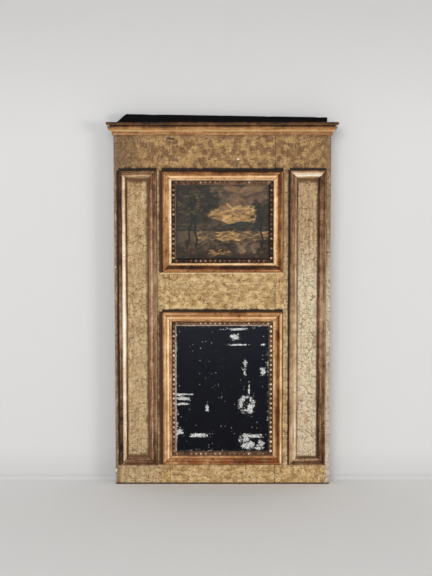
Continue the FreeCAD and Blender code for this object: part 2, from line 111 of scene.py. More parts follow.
# between the pearls, on top of a pearl, on the sight edge: partly wear, partly painted light, with painted
# shade between the pearls, painted highlights on pearl tops, and sight edges painted lighter on the left and
# top and darker on the right and bottom
PEARL_LIGHT_AND_WEAR = {
    "mirror_pearls_left": "brown bright bright",
    "mirror_pearls_top": "brown gold bright",
    "mirror_pearls_right": "brown pale brown",
    "mirror_pearls_bottom": "brown gold brown",
    "picture_pearls_left": "black gold dull",
    "picture_pearls_top": "brown tan dull",
    "picture_pearls_right": "black gold black",
    "picture_pearls_bottom": "black tan black",
}
# tones up the crown by height, partly wear, partly painted light from below: the roll painted bright, the quirk
# and the groove under the cap painted dark as shadow, the cap dark on top
CORNICE_HEIGHTS = (0.0, 3.0, 6.4, 6.6, 7.8, 9.0, 11.0, 13.0, 15.5, 17.0, 19.0, 19.1, 21.9, 22.3, 23.8, 24.6,
                   28.5)
CORNICE_LIGHT_AND_WEAR = "tan tan tan brown pale pale bright tan gold brown brown black black dull dull black black"
# tones of the faces that lie on the boards
HIDDEN_STICK = 0.15
HIDDEN_CORNICE = 0.2


def tones(words):
    return [TONES[word] for word in words.split()]


def srgb(red, green, blue):
    """A colour as a photograph's 8-bit values, in linear light."""
    def linear(value):
        value /= 255.0
        return value / 12.92 if value <= 0.04045 else ((value + 0.055) / 1.055) ** 2.4
    return linear(red), linear(green), linear(blue), 1.0


# ---- noise for shapes and painting
def value_noise(points, cell, seed):
    """Smooth noise from -1 to 1 at each row of points, with features as large as cell."""
    grid = np.asarray(points, float) / cell
    base = np.floor(grid).astype(np.int64)
    part = grid - base
    part = part * part * (3.0 - 2.0 * part)
    total = np.zeros(len(grid))
    primes = (374761393, 668265263, 2147483629)
    for corner in itertools.product((0, 1), repeat=grid.shape[1]):
        key = np.full(len(grid), seed * 1442695041, np.int64)
        weight = np.ones(len(grid))
        for axis, step in enumerate(corner):
            key += (base[:, axis] + step) * primes[axis]
            weight *= part[:, axis] if step else 1.0 - part[:, axis]
        key = ((key & 0xFFFFFFFF) ^ ((key & 0xFFFFFFFF) >> 13)) * 1274126177 & 0xFFFFFFFF
        total += weight * (((key ^ (key >> 16)) & 0xFFFF) / 32767.5 - 1.0)
    return total


def fractal(points, cell, seed, layers=3):
    total = sum(value_noise(points, cell / 2.0 ** k, seed + k) / 2.0 ** k for k in range(layers))
    return total / (2.0 - 2.0 ** (1 - layers))


def ramp(value, low, high):
    share = np.clip((value - low) / (high - low), 0.0, 1.0)
    return share * share * (3.0 - 2.0 * share)


# ---- shader writing
class Shader:
    """A node material, written as expressions. A value is a number, a colour or a node's output, and a
    colour of three numbers is in 8-bit values."""

    def __init__(self, name):
        self.material = bpy.data.materials.new(name)
        self.material.use_nodes = True
        self.tree = self.material.node_tree
        self.surface = self.tree.nodes["Principled BSDF"]
        self.point = self.tree.nodes.new("ShaderNodeTexCoord").outputs["Object"]
        self.x, self.y, self.z = self.split(self.point)

    def node(self, kind, inputs=(), **settings):
        made = self.tree.nodes.new(kind)
        for key, value in settings.items():
            setattr(made, key, value)
        for socket, value in dict(inputs).items():
            self.put(made.inputs[socket], value)
        return made

    def put(self, socket, value):
        if isinstance(value, bpy.types.NodeSocket):
            self.tree.links.new(value, socket)
        else:
            socket.default_value = value

    def split(self, vector):
        return self.node("ShaderNodeSeparateXYZ", {0: vector}).outputs[:3]

    def math(self, operation, *values):
        return self.node("ShaderNodeMath", dict(enumerate(values)), operation=operation).outputs[0]

    def chain(self, operation, first, *others):
        for value in others:
            first = self.math(operation, first, value)
        return first

    def add(self, *values):
        return self.chain("ADD", *values)

    def minus(self, first, second):
        return self.math("SUBTRACT", first, second)

    def times(self, *values):
        return self.chain("MULTIPLY", *values)

    def most(self, *values):
        return self.chain("MAXIMUM", *values)

    def size(self, value):
        return self.math("ABSOLUTE", value)

    def step(self, value, low, high):
        """0 below low and 1 above high, smooth between them; low may be the larger one."""
        inputs = {0: value, 1: low, 2: high}
        return self.node("ShaderNodeMapRange", inputs, interpolation_type="SMOOTHSTEP").outputs[0]

    def mix(self, share, first, second):
        made = self.node("ShaderNodeMix", data_type="RGBA")
        for index, value in ((0, share), (6, first), (7, second)):
            bytes_given = isinstance(value, tuple) and len(value) == 3
            self.put(made.inputs[index], srgb(*value) if bytes_given else value)
        return made.outputs[2]

    def layers(self, colour, *layers):
        """The colour under layers of (where, strength, paint), the last one on top."""
        for where, strength, paint in layers:
            colour = self.mix(self.times(where, strength), colour, paint)
        return colour

    def joined(self, x, y, z=0.0):
        return self.node("ShaderNodeCombineXYZ", {0: x, 1: y, 2: z}).outputs[0]

    def stretched(self, scale, shift, base):
        inputs = {"Vector": base, "Scale": scale, "Location": (shift, shift * 0.7, shift * 1.3)}
        return self.node("ShaderNodeMapping", inputs).outputs[0]

    def noise(self, size, detail=3.0, rough=0.55, stretch=(1, 1, 1), shift=0.0, warp=0.0, base=None):
        """Noise from about 0 to 1 with features of the given size in metres."""
        vector = self.stretched(tuple(s / size for s in stretch), shift, base or self.point)
        inputs = {"Vector": vector, "Scale": 1.0, "Detail": detail, "Roughness": rough, "Distortion": warp}
        return self.node("ShaderNodeTexNoise", inputs).outputs[0]

    def cells(self, size, feature="F1", stretch=(1, 1, 1), shift=0.0, wobble=0.0):
        """Distance to the nearest cell point, or to a cell's edge, in cell sizes."""
        vector = self.stretched(tuple(s / size for s in stretch), shift, self.point)
        if wobble:
            offset = self.node("ShaderNodeTexNoise", {"Vector": vector, "Scale": 1.3, "Detail": 2.0}).outputs[1]
            offset = self.node("ShaderNodeVectorMath", {0: offset, 1: (0.5, 0.5, 0.5)},
                               operation="SUBTRACT").outputs[0]
            vector = self.node("ShaderNodeVectorMath", {0: offset, 1: (wobble,) * 3, 2: vector},
                               operation="MULTIPLY_ADD").outputs[0]
        return self.node("ShaderNodeTexVoronoi", {"Vector": vector, "Scale": 1.0}, feature=feature).outputs[0]

    def dots(self, spacing, radius, share, shift=0.0):
        """Dots on the front about radius metres large, in a share of the cells of a scattered grid."""
        flat = self.stretched((1.0 / spacing,) * 3, shift, self.joined(self.x, self.z))
        made = self.node("ShaderNodeTexVoronoi", {"Vector": flat, "Scale": 1.0}, voronoi_dimensions="2D")
        chance = self.split(made.outputs[1])[0]
        size = radius / spacing
        return self.times(self.step(made.outputs[0], size * 1.3, size * 0.6),
                          self.step(chance, 1.0 - share, 1.01 - share))

    def shades(self, value, colours):
        """A colour on a row of evenly spaced shades, the first at 0 and the last at 1."""
        made = self.node("ShaderNodeValToRGB", {0: value})
        elements = made.color_ramp.elements
        elements[0].color = srgb(*colours[0])
        elements[1].color = srgb(*colours[-1])
        for index, colour in enumerate(colours[1:-1], 1):
            elements.new(index / (len(colours) - 1)).color = srgb(*colour)
        return made.outputs[0]

    def attribute(self, name, output="Fac"):
        return self.node("ShaderNodeAttribute", attribute_name=name).outputs[output]

    def bump(self, height, distance):
        """A bump whose height of 1 stands distance metres proud."""
        return self.node("ShaderNodeBump", {"Height": height, "Distance": distance, "Strength": 1.0}).outputs[0]

    def finish(self, **inputs):
        for name, value in inputs.items():
            self.put(self.surface.inputs[name.replace("_", " ").title().replace("Ior", "IOR")], value)
        return self.material


# ---- painted ground
def beyond(s, name, inset, widths):
    """How far a point of the front lies outside a frame's or panel's rectangle, made smaller by inset.
    Each side (left, right, bottom, top) has the width that counts as 1; inside, the value is negative."""
    left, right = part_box(name + "_left"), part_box(name + "_right")
    low, high = (left[0].x + inset, left[0].z + inset), (right[1].x - inset, right[1].z - inset)
    outside = (s.minus(low[0], s.x), s.minus(s.x, high[0]), s.minus(low[1], s.z), s.minus(s.z, high[1]))
    return s.most(*(s.math("DIVIDE", distance, width) for distance, width in zip(outside, widths)))


def ledge_shadow_and_dirt(s, ragged):
    """Painted shadow and grime beside the raised mouldings: brown along their left, black along their top,
    where the light from the lower right casts their shadow.
    """
    clear = 0.0003
    side = top = 0.0
    for name, left_width in (("mirror_frame", 0.0105), ("picture_frame", 0.0080),
                             ("left_panel", 0.0062), ("right_panel", 0.0042)):
        beside = beyond(s, name, 0.0, (left_width, 0.0010, clear, clear))
        here = s.times(s.step(s.add(beside, ragged), 1.15, 0.55), s.step(beside, -0.5, 0.0))
        side = s.most(side, here)
        above = beyond(s, name, 0.0, (clear, clear, clear, 0.0072))
        here = s.times(s.step(s.add(above, ragged), 1.10, 0.60), s.step(above, -0.5, 0.0))
        top = s.most(top, here)
    return side, top


def panel_shade_and_dirt(s, ragged):
    """Painted shade and brown grime inside the side panels, along their mouldings: broad at the top and, in the
    left one, at the right and below.
    """
    shade_and_dirt = 0.0
    for name, right_width, foot_width in (("left_panel", 0.0078, 0.0100), ("right_panel", 0.0036, 0.0045)):
        widths = (0.0026, right_width, foot_width, 0.0125)
        inside = s.times(beyond(s, name, PANEL_SECTION["width"] * MM, widths), -1.0)
        here = s.times(s.step(s.add(inside, ragged), 1.2, 0.35), s.step(inside, -1.5, -0.5))
        shade_and_dirt = s.most(shade_and_dirt, here)
    return shade_and_dirt


def spot(s, x, z, half_x, half_z, ragged=0.35, tilt=0.0):
    """A ragged oval of 1 round a point of the front; tilt slants it."""
    offset_z = s.minus(s.z, z)
    offset_x = s.add(s.minus(s.x, x), s.times(offset_z, tilt))
    across = s.math("DIVIDE", offset_x, half_x)
    up = s.math("DIVIDE", offset_z, half_z)
    square = s.add(s.times(across, across), s.times(up, up))
    rough = s.times(s.noise(min(half_x, half_z) * 1.6, 2.0), ragged * 2.0)
    return s.step(s.add(square, rough), 1.2 + ragged, 0.8 + ragged)


def board_tone(s, wide, mottle):
    """The paint's tone from board to board, with painted shade under the cornice and paler paint on the right
    partly standing for light from the right.
    """
    low = s.step(s.add(s.z, s.times(wide, 0.08)), 0.635, 0.50)
    frieze = s.step(s.add(s.z, s.times(wide, 0.02)), 0.728, 0.748)
    left_board = s.step(s.add(s.x, s.times(mottle, 0.004)), -0.139, -0.142)
    low_left = s.times(s.step(s.x, -0.15, -0.165), s.step(s.z, 0.62, 0.30))
    beside_mirror = s.times(s.step(s.x, 0.139, 0.141), s.minus(1.0, low))
    # right panel field paler low down: partly its paint, partly painted light from the right
    right_panel = s.times(s.step(s.add(s.x, s.times(wide, 0.02)), 0.150, 0.175), s.step(s.z, 0.040, 0.052))
    right_paint_and_light = s.mix(low, s.mix(mottle, (176, 146, 108), (200, 170, 132)),
                        s.mix(mottle, (214, 194, 160), (232, 218, 192)))
    far = s.add(s.size(s.x), s.times(s.add(wide, -0.5), 0.08))
    frieze_ends = s.times(frieze, s.step(far, 0.165, 0.245))
    # painted shade under the cornice
    cornice_shade = s.step(s.add(s.z, s.times(mottle, 0.008)), CORNICE_FOOT - 0.010, CORNICE_FOOT + 0.002)
    left_edge = s.step(s.add(s.x, s.times(mottle, 0.004)), -0.234, -0.242)
    # right edge strip paler low down: partly its paint, partly painted light from the right
    right_edge = s.step(s.add(s.x, s.times(mottle, 0.006)), 0.236, 0.246)
    return s.layers(
        s.mix(s.step(mottle, 0.38, 0.62), (180, 143, 90), (222, 190, 136)),
        (left_board, 0.6, s.mix(mottle, (166, 134, 94), (204, 176, 136))),
        (low_left, 0.4, (204, 178, 138)),
        (beside_mirror, 0.9, s.mix(mottle, (146, 110, 72), (168, 134, 96))),
        (right_panel, 0.9, right_paint_and_light),
        (frieze, 1.0, s.mix(s.step(mottle, 0.40, 0.60), (124, 87, 50), (188, 150, 96))),
        (frieze_ends, s.add(0.92, s.times(s.step(s.x, -0.05, 0.05), -0.60)), (112, 82, 54)),
        (cornice_shade, 0.40, (104, 72, 50)),
        (left_edge, 0.85, (132, 108, 86)),
        (right_edge, 0.8, s.mix(low, (138, 108, 80), (208, 192, 172))))


def crackle(s, grain, frieze):
    """Broken network of age cracks, with finer checks along and across the grain."""
    worn = s.noise(0.040, 3.0, shift=11.0)
    broken = s.noise(0.0070, 2.0, shift=37.0)
    big = s.cells(0.0125, "DISTANCE_TO_EDGE", stretch=(0.65, 1, 1), wobble=0.7)
    fine = s.cells(0.0085, "DISTANCE_TO_EDGE", stretch=(0.75, 1, 1), shift=5.0, wobble=0.7)
    lines = s.times(s.step(big, 0.062, 0.020), s.step(s.add(worn, broken), 0.88, 1.06))
    more = s.times(s.step(fine, 0.080, 0.030), s.step(s.minus(worn, broken), -0.02, -0.16))
    checks = s.step(s.noise(0.0021, 2.0, stretch=(0.10, 1, 1), shift=19.0, base=grain), 0.61, 0.70)
    cross = s.step(s.noise(0.0021, 2.0, stretch=(1, 1, 0.14), shift=29.0, base=grain), 0.62, 0.71)
    return s.most(s.times(lines, 0.85), s.times(more, 0.6),
                  s.times(checks, s.add(0.45, s.times(frieze, 0.45))),
                  s.times(cross, s.add(0.25, s.times(frieze, 0.60))))


def spots(s, ragged, places):
    marks = 0.0
    for place in places:
        marks = s.most(marks, spot(s, *place, ragged))
    return marks


def painted_ground():
    s = Shader("painted_ground")
    upright = s.step(s.size(s.x), STILE_INNER - 0.0003, STILE_INNER + 0.0003)
    grain = s.mix(upright, s.point, s.joined(s.z, s.y, s.x))
    frieze = s.step(s.z, 0.725, 0.745)
    wide = s.noise(0.12, 3.0)
    mottle = s.noise(0.014, 4.0, shift=3.0)
    fine = s.noise(0.0042, 3.0, shift=13.0)
    grit = s.noise(0.0024, 2.0, shift=51.0)
    streak = s.noise(0.0060, 3.0, stretch=(0.14, 1, 1), shift=7.0, base=grain)
    olive = s.step(s.noise(0.0085, 5.0, rough=0.65, shift=47.0), 0.50, 0.68)
    cracks = crackle(s, grain, frieze)
    fleck = s.step(s.noise(0.0034, 2.0, shift=17.0, stretch=(0.5, 1, 1), base=grain), 0.65, 0.72)
    fleck = s.most(fleck, s.dots(0.014, 0.0012, 0.32, 61.0))
    pale = s.step(s.noise(0.0040, 2.0, shift=23.0), 0.69, 0.76)

    joint = s.size(s.minus(s.size(s.x), STILE_INNER))
    joint = s.times(s.step(joint, 0.0011, 0.0002), s.step(s.noise(0.02, 2.0, shift=31.0), 0.30, 0.55))
    joint = s.times(joint, s.add(0.35, s.times(s.step(s.x, 0.0, 0.01), 0.60)))

    ragged = s.times(s.minus(mottle, 0.5), 0.9)
    side, top = ledge_shadow_and_dirt(s, ragged)
    left_shadow_brown = s.mix(s.step(s.size(s.x), 0.150, 0.152), (76, 44, 18), (44, 22, 8))
    # painted highlight: a pale line on the middle rail just under the picture frame
    lit_edge_under_picture = s.times(s.step(s.z, PICTURE_FOOT - 0.0032, PICTURE_FOOT - 0.0018),
                     s.step(s.z, PICTURE_FOOT + 0.0004, PICTURE_FOOT),
                     s.step(s.size(s.x), 0.142, 0.139))

    worm = s.most(s.dots(0.017, 0.0013, 0.30, 2.0),
                  spots(s, 0.3, ((0.055, 0.037, 0.0016, 0.0016), (0.044, 0.026, 0.0015, 0.0015),
                                 (0.063, 0.018, 0.0017, 0.0017), (0.091, 0.019, 0.0015, 0.0015))),
                  s.times(spot(s, -0.119, 0.805, 0.0085, 0.0030, 0.5, 1.3), 0.8))
    chip = spots(s, 0.4, ((0.036, 0.758, 0.0030, 0.0022), (-0.2490, 0.033, 0.0022, 0.0040),
                          (0.247, 0.42, 0.0012, 0.0030), (-0.247, 0.51, 0.0012, 0.0020)))
    foot = s.step(s.add(s.z, s.times(mottle, -0.004)), 0.0032, 0.0002)
    back = s.step(s.y, BOARD_FRONT + 0.006, BOARD_FRONT + 0.012)
    hair = s.noise(0.0024, 4.0, stretch=(0.05, 1, 1), shift=67.0, base=grain)
    bare = s.layers(s.mix(s.step(streak, 0.30, 0.65), (146, 110, 74), (92, 64, 40)),
                    (s.step(hair, 0.46, 0.66), 0.65, (70, 46, 28)),
                    (s.step(wide, 0.50, 0.66), 0.45, (64, 48, 34)))

    colour = s.layers(
        board_tone(s, wide, mottle),
        (s.step(streak, 0.50, 0.70), 0.50, (148, 112, 66)),
        (s.step(streak, 0.48, 0.30), s.add(0.45, s.times(frieze, -0.30)), (240, 214, 168)),
        (olive, 0.40, (142, 112, 62)),
        (s.step(fine, 0.46, 0.28), 0.30, (240, 214, 170)),
        (s.step(grit, 0.56, 0.70), 0.50, (112, 80, 46)),
        (cracks, 0.74, (92, 62, 32)),
        (fleck, 0.75, (78, 50, 26)),
        (pale, 0.5, (240, 218, 180)),
        (joint, 1.0, (66, 42, 22)),
        # painted shade and grime inside the panels
        (panel_shade_and_dirt(s, ragged), 0.88, (90, 54, 24)),
        # painted shadow, with grime, left of and above the raised mouldings
        (side, 0.97, left_shadow_brown),
        (top, 0.97, (18, 4, 0)),
        (lit_edge_under_picture, 0.75, (246, 212, 164)),
        (worm, 0.9, (40, 24, 10)),
        (chip, 1.0, (236, 224, 200)),
        (foot, 0.92, (36, 22, 12)),
        (back, 1.0, bare))
    height = s.add(s.times(cracks, -0.6), s.times(worm, -1.5), s.times(mottle, 0.6), s.times(chip, -0.8),
                   s.times(joint, -0.8), s.times(fine, 0.3), s.times(grit, 0.3))
    return s.finish(base_color=colour, roughness=s.add(0.55, s.times(mottle, 0.2)),
                    specular_ior_level=0.30, normal=s.bump(height, 0.0005))


# ---- gilding
# Of each gilding: five shades from grime and painted shadow to worn leaf and painted highlight, how metallic it
# is, its seed, red bole low down. The pearls are dark brown between, as wear and painted shade, brown-gold on
# top, with a pale sight edge where it is painted lit.
GILDING = {
    "cornice_gilding": (((24, 8, 2), (104, 64, 30), (166, 118, 68), (206, 158, 102), (244, 206, 150)),
                        0.2, 3.0, 0.0),
    "frame_gilding": (((32, 8, 0), (118, 68, 28), (190, 140, 88), (236, 194, 142), (255, 240, 204)),
                      0.2, 11.0, 0.55),
    "panel_moulding_gilding": (((32, 14, 4), (112, 74, 44), (180, 144, 108), (226, 198, 160),
                                (255, 248, 228)), 0.15, 23.0, 0.0),
    "pearl_gilding": (((26, 12, 6), (96, 66, 46), (156, 120, 92), (208, 182, 156), (255, 246, 230)),
                      0.2, 37.0, 0.0),
}


def gilding(name):
    """Leaf over bole, its tone read from the mesh, which holds wear and painted light and shade, and broken by
    streaks, worn patches, pits and joints.
    """
    shades, metal, seed, bole = GILDING[name]
    s = Shader(name)
    length = s.joined(s.attribute("along"), s.attribute("across"))
    mottle = s.noise(0.016, 4.0, shift=seed)
    fine = s.noise(0.0022, 3.0, shift=seed + 2.0)
    streak = s.noise(0.0015, 3.0, stretch=(0.03, 1, 1), shift=seed + 1.0, base=length)
    patch = s.step(s.noise(0.009, 4.0, shift=seed + 5.0, warp=0.6), 0.56, 0.70)
    flake = s.step(s.noise(0.0060, 3.0, shift=seed + 7.0), 0.60, 0.70)
    wide = s.noise(0.09, 2.0, shift=seed + 3.0)
    end = s.step(s.attribute("to_end"), 0.0010, 0.0002)
    tone = s.attribute("tone")
    for noise, strength in ((mottle, 0.45), (streak, 0.75), (fine, 0.40), (wide, 0.50)):
        tone = s.add(tone, s.times(s.minus(noise, 0.5), strength))
    tone = s.add(tone, s.times(patch, -0.16), s.times(flake, 0.12), s.times(end, -0.35))
    red = s.times(s.step(s.z, 0.16, 0.07), s.step(s.noise(0.025, 3.0, shift=seed + 15.0), 0.40, 0.60))
    pit = s.step(s.cells(0.009, shift=seed), 0.13, 0.08)
    pit = s.times(pit, s.step(s.noise(0.03, 1.0, shift=seed + 9.0), 0.46, 0.54))
    fleck = s.step(s.noise(0.0022, 2.0, shift=seed + 13.0), 0.61, 0.69)
    colour = s.layers(s.shades(tone, shades),
                      (s.times(red, s.step(tone, 0.9, 0.4)), bole, (138, 66, 28)),
                      (s.most(pit, s.times(fleck, 0.6)), 0.8, (52, 28, 12)))
    leaf_and_light = s.step(tone, 0.25, 0.60)
    rough = s.add(0.72, s.times(leaf_and_light, -0.34), s.times(fine, 0.1))
    height = s.add(s.times(fine, 0.35), s.times(patch, -0.3), s.times(pit, -1.5), s.times(mottle, 0.4),
                   s.times(streak, 0.5))
    return s.finish(base_color=colour, metallic=s.times(leaf_and_light, metal), roughness=rough,
                    specular_ior_level=0.35, normal=s.bump(height, 0.0003))


# ---- woods, iron, black stain
def aged_wood(name, light, dark, along, seed, dust):
    """Sawn softwood with rings and grain along one axis ("x" or "z")."""
    s = Shader(name)
    stretch = (0.05, 1, 1) if along == "x" else (1, 1, 0.05)
    rings = s.noise(0.018, 3.0, stretch=stretch, shift=seed, warp=1.2)
    grain = s.noise(0.0022, 4.0, stretch=stretch, shift=seed + 4.0)
    bands = s.math("FRACT", s.times(rings, 7.0))
    bands = s.step(s.size(s.minus(bands, 0.5)), 0.1, 0.45)
    stain = s.noise(0.07, 4.0, shift=seed + 8.0)
    grey = s.step(s.noise(0.03, 4.0, shift=seed + 12.0), 0.5, 0.8)
    worm = s.times(s.step(s.cells(0.017, shift=seed), 0.085, 0.06),
                   s.step(s.noise(0.06, 1.0, shift=seed + 3.0), 0.5, 0.58))
    colour = s.layers(s.mix(bands, light, dark),
                      (s.step(grain, 0.45, 0.7), 0.6, dark),
                      (s.step(stain, 0.5, 0.72), 0.55, (52, 36, 24)),
                      (grey, dust, (150, 138, 122)),
                      (worm, 0.9, (22, 14, 8)))
    height = s.add(s.times(grain, 0.8), s.times(bands, 0.4), s.times(worm, -2.0))
    return s.finish(base_color=colour, roughness=s.add(0.7, s.times(grain, 0.2)),
                    normal=s.bump(height, 0.0004))


def black_stain():
    s = Shader("black_stained_wood")
    grain = s.noise(0.0025, 4.0, stretch=(0.06, 1, 1))
    colour = s.layers(s.mix(grain, (14, 11, 9), (34, 28, 23)),
                      (s.step(s.noise(0.03, 4.0, shift=5.0), 0.56, 0.76), 0.35, (74, 54, 38)),
                      (s.step(s.y, BOARD_BACK + 0.004, BOARD_BACK + 0.001), 0.8, (6, 5, 6)))
    return s.finish(base_color=colour, roughness=0.85, specular_ior_level=0.12, normal=s.bump(grain, 0.0004))


def iron():
    s = Shader("wrought_iron")
    scale = s.noise(0.004, 4.0)
    rust = s.step(s.noise(0.008, 4.0, shift=9.0), 0.45, 0.68)
    colour = s.layers(s.mix(scale, (48, 43, 40), (84, 76, 70)),
                      (rust, 0.8, s.mix(scale, (92, 50, 28), (134, 80, 46))))
    return s.finish(base_color=colour, metallic=s.minus(0.85, s.times(rust, 0.7)),
                    roughness=s.add(0.45, s.times(rust, 0.35)), normal=s.bump(s.add(scale, rust), 0.0003))


# ---- mesh building
def add_values(mesh, values):
    """Attributes of the mesh's points: numbers, or colours where a row has four."""
    for key, data in values.items():
        data = np.asarray(data, np.float32)
        if data.ndim == 2:
            layer = mesh.color_attributes.new(key, "FLOAT_COLOR", "POINT")
            layer.data.foreach_set("color", data.ravel())
        else:
            layer = mesh.attributes.new(key, "FLOAT", "POINT")
            layer.data.foreach_set("value", data)


def stand_for(node, name, mesh, slot, sharp):
    """Puts a finished mesh in the scene in place of a CAD node of the body."""
    mesh.shade_smooth()
    mesh.set_sharp_from_angle(angle=math.radians(sharp))
    mesh.materials.append(looks[slot])
    piece = bpy.data.objects.new(name, mesh)
    bpy.context.scene.collection.objects.link(piece)
    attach(piece, "root")
    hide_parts(node)
    return piece


def make_piece(node, name, points, faces, slot, values, sharp=42.0):
    mesh = bpy.data.meshes.new(name)
    mesh.from_pydata([tuple(p) for p in points], [], faces)
    mesh.validate()
    add_values(mesh, values)
    return stand_for(node, name, mesh, slot, sharp)


def closed_grid(columns, rows):
    """Faces of a tube of rows stations, columns points round, closed with a cap at each end."""
    faces = []
    for row in range(rows - 1):
        for column in range(columns):
            after = (column + 1) % columns
            a, b = row * columns, (row + 1) * columns
            faces.append((a + column, a + after, b + after, b + column))
    faces.append(tuple(range(columns - 1, -1, -1)))
    faces.append(tuple(range((rows - 1) * columns, rows * columns)))
    return faces


def arc_through(start, middle, end, count):
    """Points on the arc through three points, without its start."""
    (ax, ay), (bx, by), (cx, cy) = start, middle, end
    d = 2.0 * (ax * (by - cy) + bx * (cy - ay) + cx * (ay - by))
    squares = ax * ax + ay * ay, bx * bx + by * by, cx * cx + cy * cy
    ux = (squares[0] * (by - cy) + squares[1] * (cy - ay) + squares[2] * (ay - by)) / d
    uy = (squares[0] * (cx - bx) + squares[1] * (ax - cx) + squares[2] * (bx - ax)) / d
    radius = math.hypot(ax - ux, ay - uy)
    angles = [math.atan2(y - uy, x - ux) for x, y in (start, middle, end)]
    turn = 2.0 * math.pi
    sweep = (angles[2] - angles[0]) % turn
    if (angles[1] - angles[0]) % turn > sweep:
        sweep -= turn
    return [(ux + radius * math.cos(angles[0] + sweep * k / count),
             uy + radius * math.sin(angles[0] + sweep * k / count)) for k in range(1, count + 1)]


def straight(start, end, count):
    return [(start[0] + (end[0] - start[0]) * k / count,
             start[1] + (end[1] - start[1]) * k / count) for k in range(1, count + 1)]


def path_through(points, counts):
    """The first point and straight runs through the others, each cut into its count."""
    path = [points[0]]
    for start, end, count in zip(points, points[1:], counts):
        path += straight(start, end, count)
    return path


def rolled_section(width, lean, edge, bead, bead_rise, groove, groove_width, sag, radius, rise, past_roll,
                   end_height=None):
    """A moulding's section as (distance inwards, height) points, from its outer foot to its inner foot."""
    roll_end = width - max(past_roll, 0.0)
    if end_height is None:
        roll_x = width - radius - past_roll
        end_height = rise + math.sqrt(radius ** 2 - (width - roll_x) ** 2)
    else:
        roll_x = roll_end - math.sqrt(radius ** 2 - (end_height - rise) ** 2)
    foot = roll_x - math.sqrt(radius ** 2 - (groove - rise) ** 2)
    start, end = (lean, edge), (lean + bead, edge)
    points = path_through(((0.0, 0.0), start), (6,))
    points += arc_through(start, (lean + bead / 2.0, edge + bead_rise), end, 12)
    low = (foot - groove_width, groove)
    chord = math.hypot(low[0] - end[0], low[1] - edge)
    middle = ((low[0] + end[0]) / 2.0 - sag * (edge - low[1]) / chord,
              (low[1] + edge) / 2.0 - sag * (low[0] - end[0]) / chord)
    points += arc_through(end, middle, low, 8)
    if groove_width:
        points += straight(low, (foot, groove), 4)
    points += arc_through((foot, groove), (roll_x, rise + radius), (roll_end, end_height), 18)
    if past_roll > 0:
        points += straight((roll_end, end_height), (width, end_height), 3)
    return points + straight((width, end_height), (width, 0.0), 4)


def wear(points, seed, sink=0.35):
    """Millimetres by which old wood and gesso stand off their true surface at each point (in mm)."""
    wave = 0.22 * value_noise(points, 45.0, seed) + 0.10 * value_noise(points, 9.0, seed + 1)
    pits = value_noise(points, 2.6, seed + 2)
    chips = ramp(value_noise(points, 6.5, seed + 3), 0.62, 0.85)
    return wave + 0.05 * pits - sink * chips


SIDE_TURNS = {"bottom": 0, "left": 1, "top": 2, "right": 3}


class Stick:
    """One mitred side of a frame or panel: where it lies, from the boxes of its two upright sides."""

    def __init__(self, node):
        prefix, self.side = node.rsplit("_", 1)
        left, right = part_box(prefix + "_left"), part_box(prefix + "_right")
        half = (right[1].x - left[0].x) / 2.0 / MM, (left[1].z - left[0].z) / 2.0 / MM
        self.centre = (right[1].x + left[0].x) / 2.0 / MM, (left[1].z + left[0].z) / 2.0 / MM
        upright = self.side in ("left", "right")
        self.half, self.reach = (half[1], half[0]) if upright else half

    def turned(self, along, inwards):
        """A place along the stick and inwards from its outer edge, as x and z from the centre."""
        across, up = along, inwards - self.reach
        for _ in range(SIDE_TURNS[self.side]):
            across, up = up, -across
        return across, up

    def point(self, along, inwards, height):
        x, z = self.turned(along, inwards)
        return self.centre[0] + x, -height, self.centre[1] + z

    def stations(self, outline, rows):
        """Along the stick: (index in the outline, inwards, height, half length there, place along it)."""
        for row in range(rows + 1):
            for index, (inwards, height) in enumerate(outline):
                run = self.half - inwards
                yield index, inwards, height, run, -run + 2.0 * run * row / rows


def mitred_moulding(node, section, slot, seed, spacing=2.5):
    """A worn stick of moulding that stands for a CAD stick: true section, mitred ends."""
    stick = Stick(node)
    outline = section + straight(section[-1], (0.0, 0.0), 8)[:-1]
    features = PANEL_FEATURES if "panel" in node else FRAME_FEATURES
    # tones of wear and painted light and shade across the section
    front_tones = np.interp([p[0] for p in section], features, tones(STICK_LIGHT_AND_WEAR[node]))
    outline_tones = np.concatenate((front_tones, np.full(len(outline) - len(section), HIDDEN_STICK)))
    fade = PANEL_FADE.get(node, (0.0, 0.0, 0.0))
    rows = int(2.0 * stick.half / spacing)
    faded_at = 300.0
    points, leaf_and_light, ends, along, across = [], [], [], [], []
    for index, inwards, height, run, t in stick.stations(outline, rows):
        points.append(stick.point(t, inwards, height))
        up = stick.turned(t, inwards)[1]
        leaf_and_light.append(outline_tones[index] + np.interp(up, (-faded_at, 0.0, faded_at), fade[::-1]))
        ends.append((run - abs(t)) * MM * math.sqrt(0.5))
        along.append(t * MM + SIDE_TURNS[stick.side])
        across.append((inwards + height) * MM)
    points = np.array(points)
    raised = points[:, 1] < -0.01
    points[:, 1] -= wear(points, seed) * raised * np.clip(-points[:, 1] / 2.0, 0.0, 1.0)
    points *= MM
    points[:, 1] += BOARD_FRONT
    values = {"tone": leaf_and_light, "to_end": ends, "along": along, "across": across}
    make_piece(node, node + "_worn", points, closed_grid(len(outline), rows + 1), slot, values)


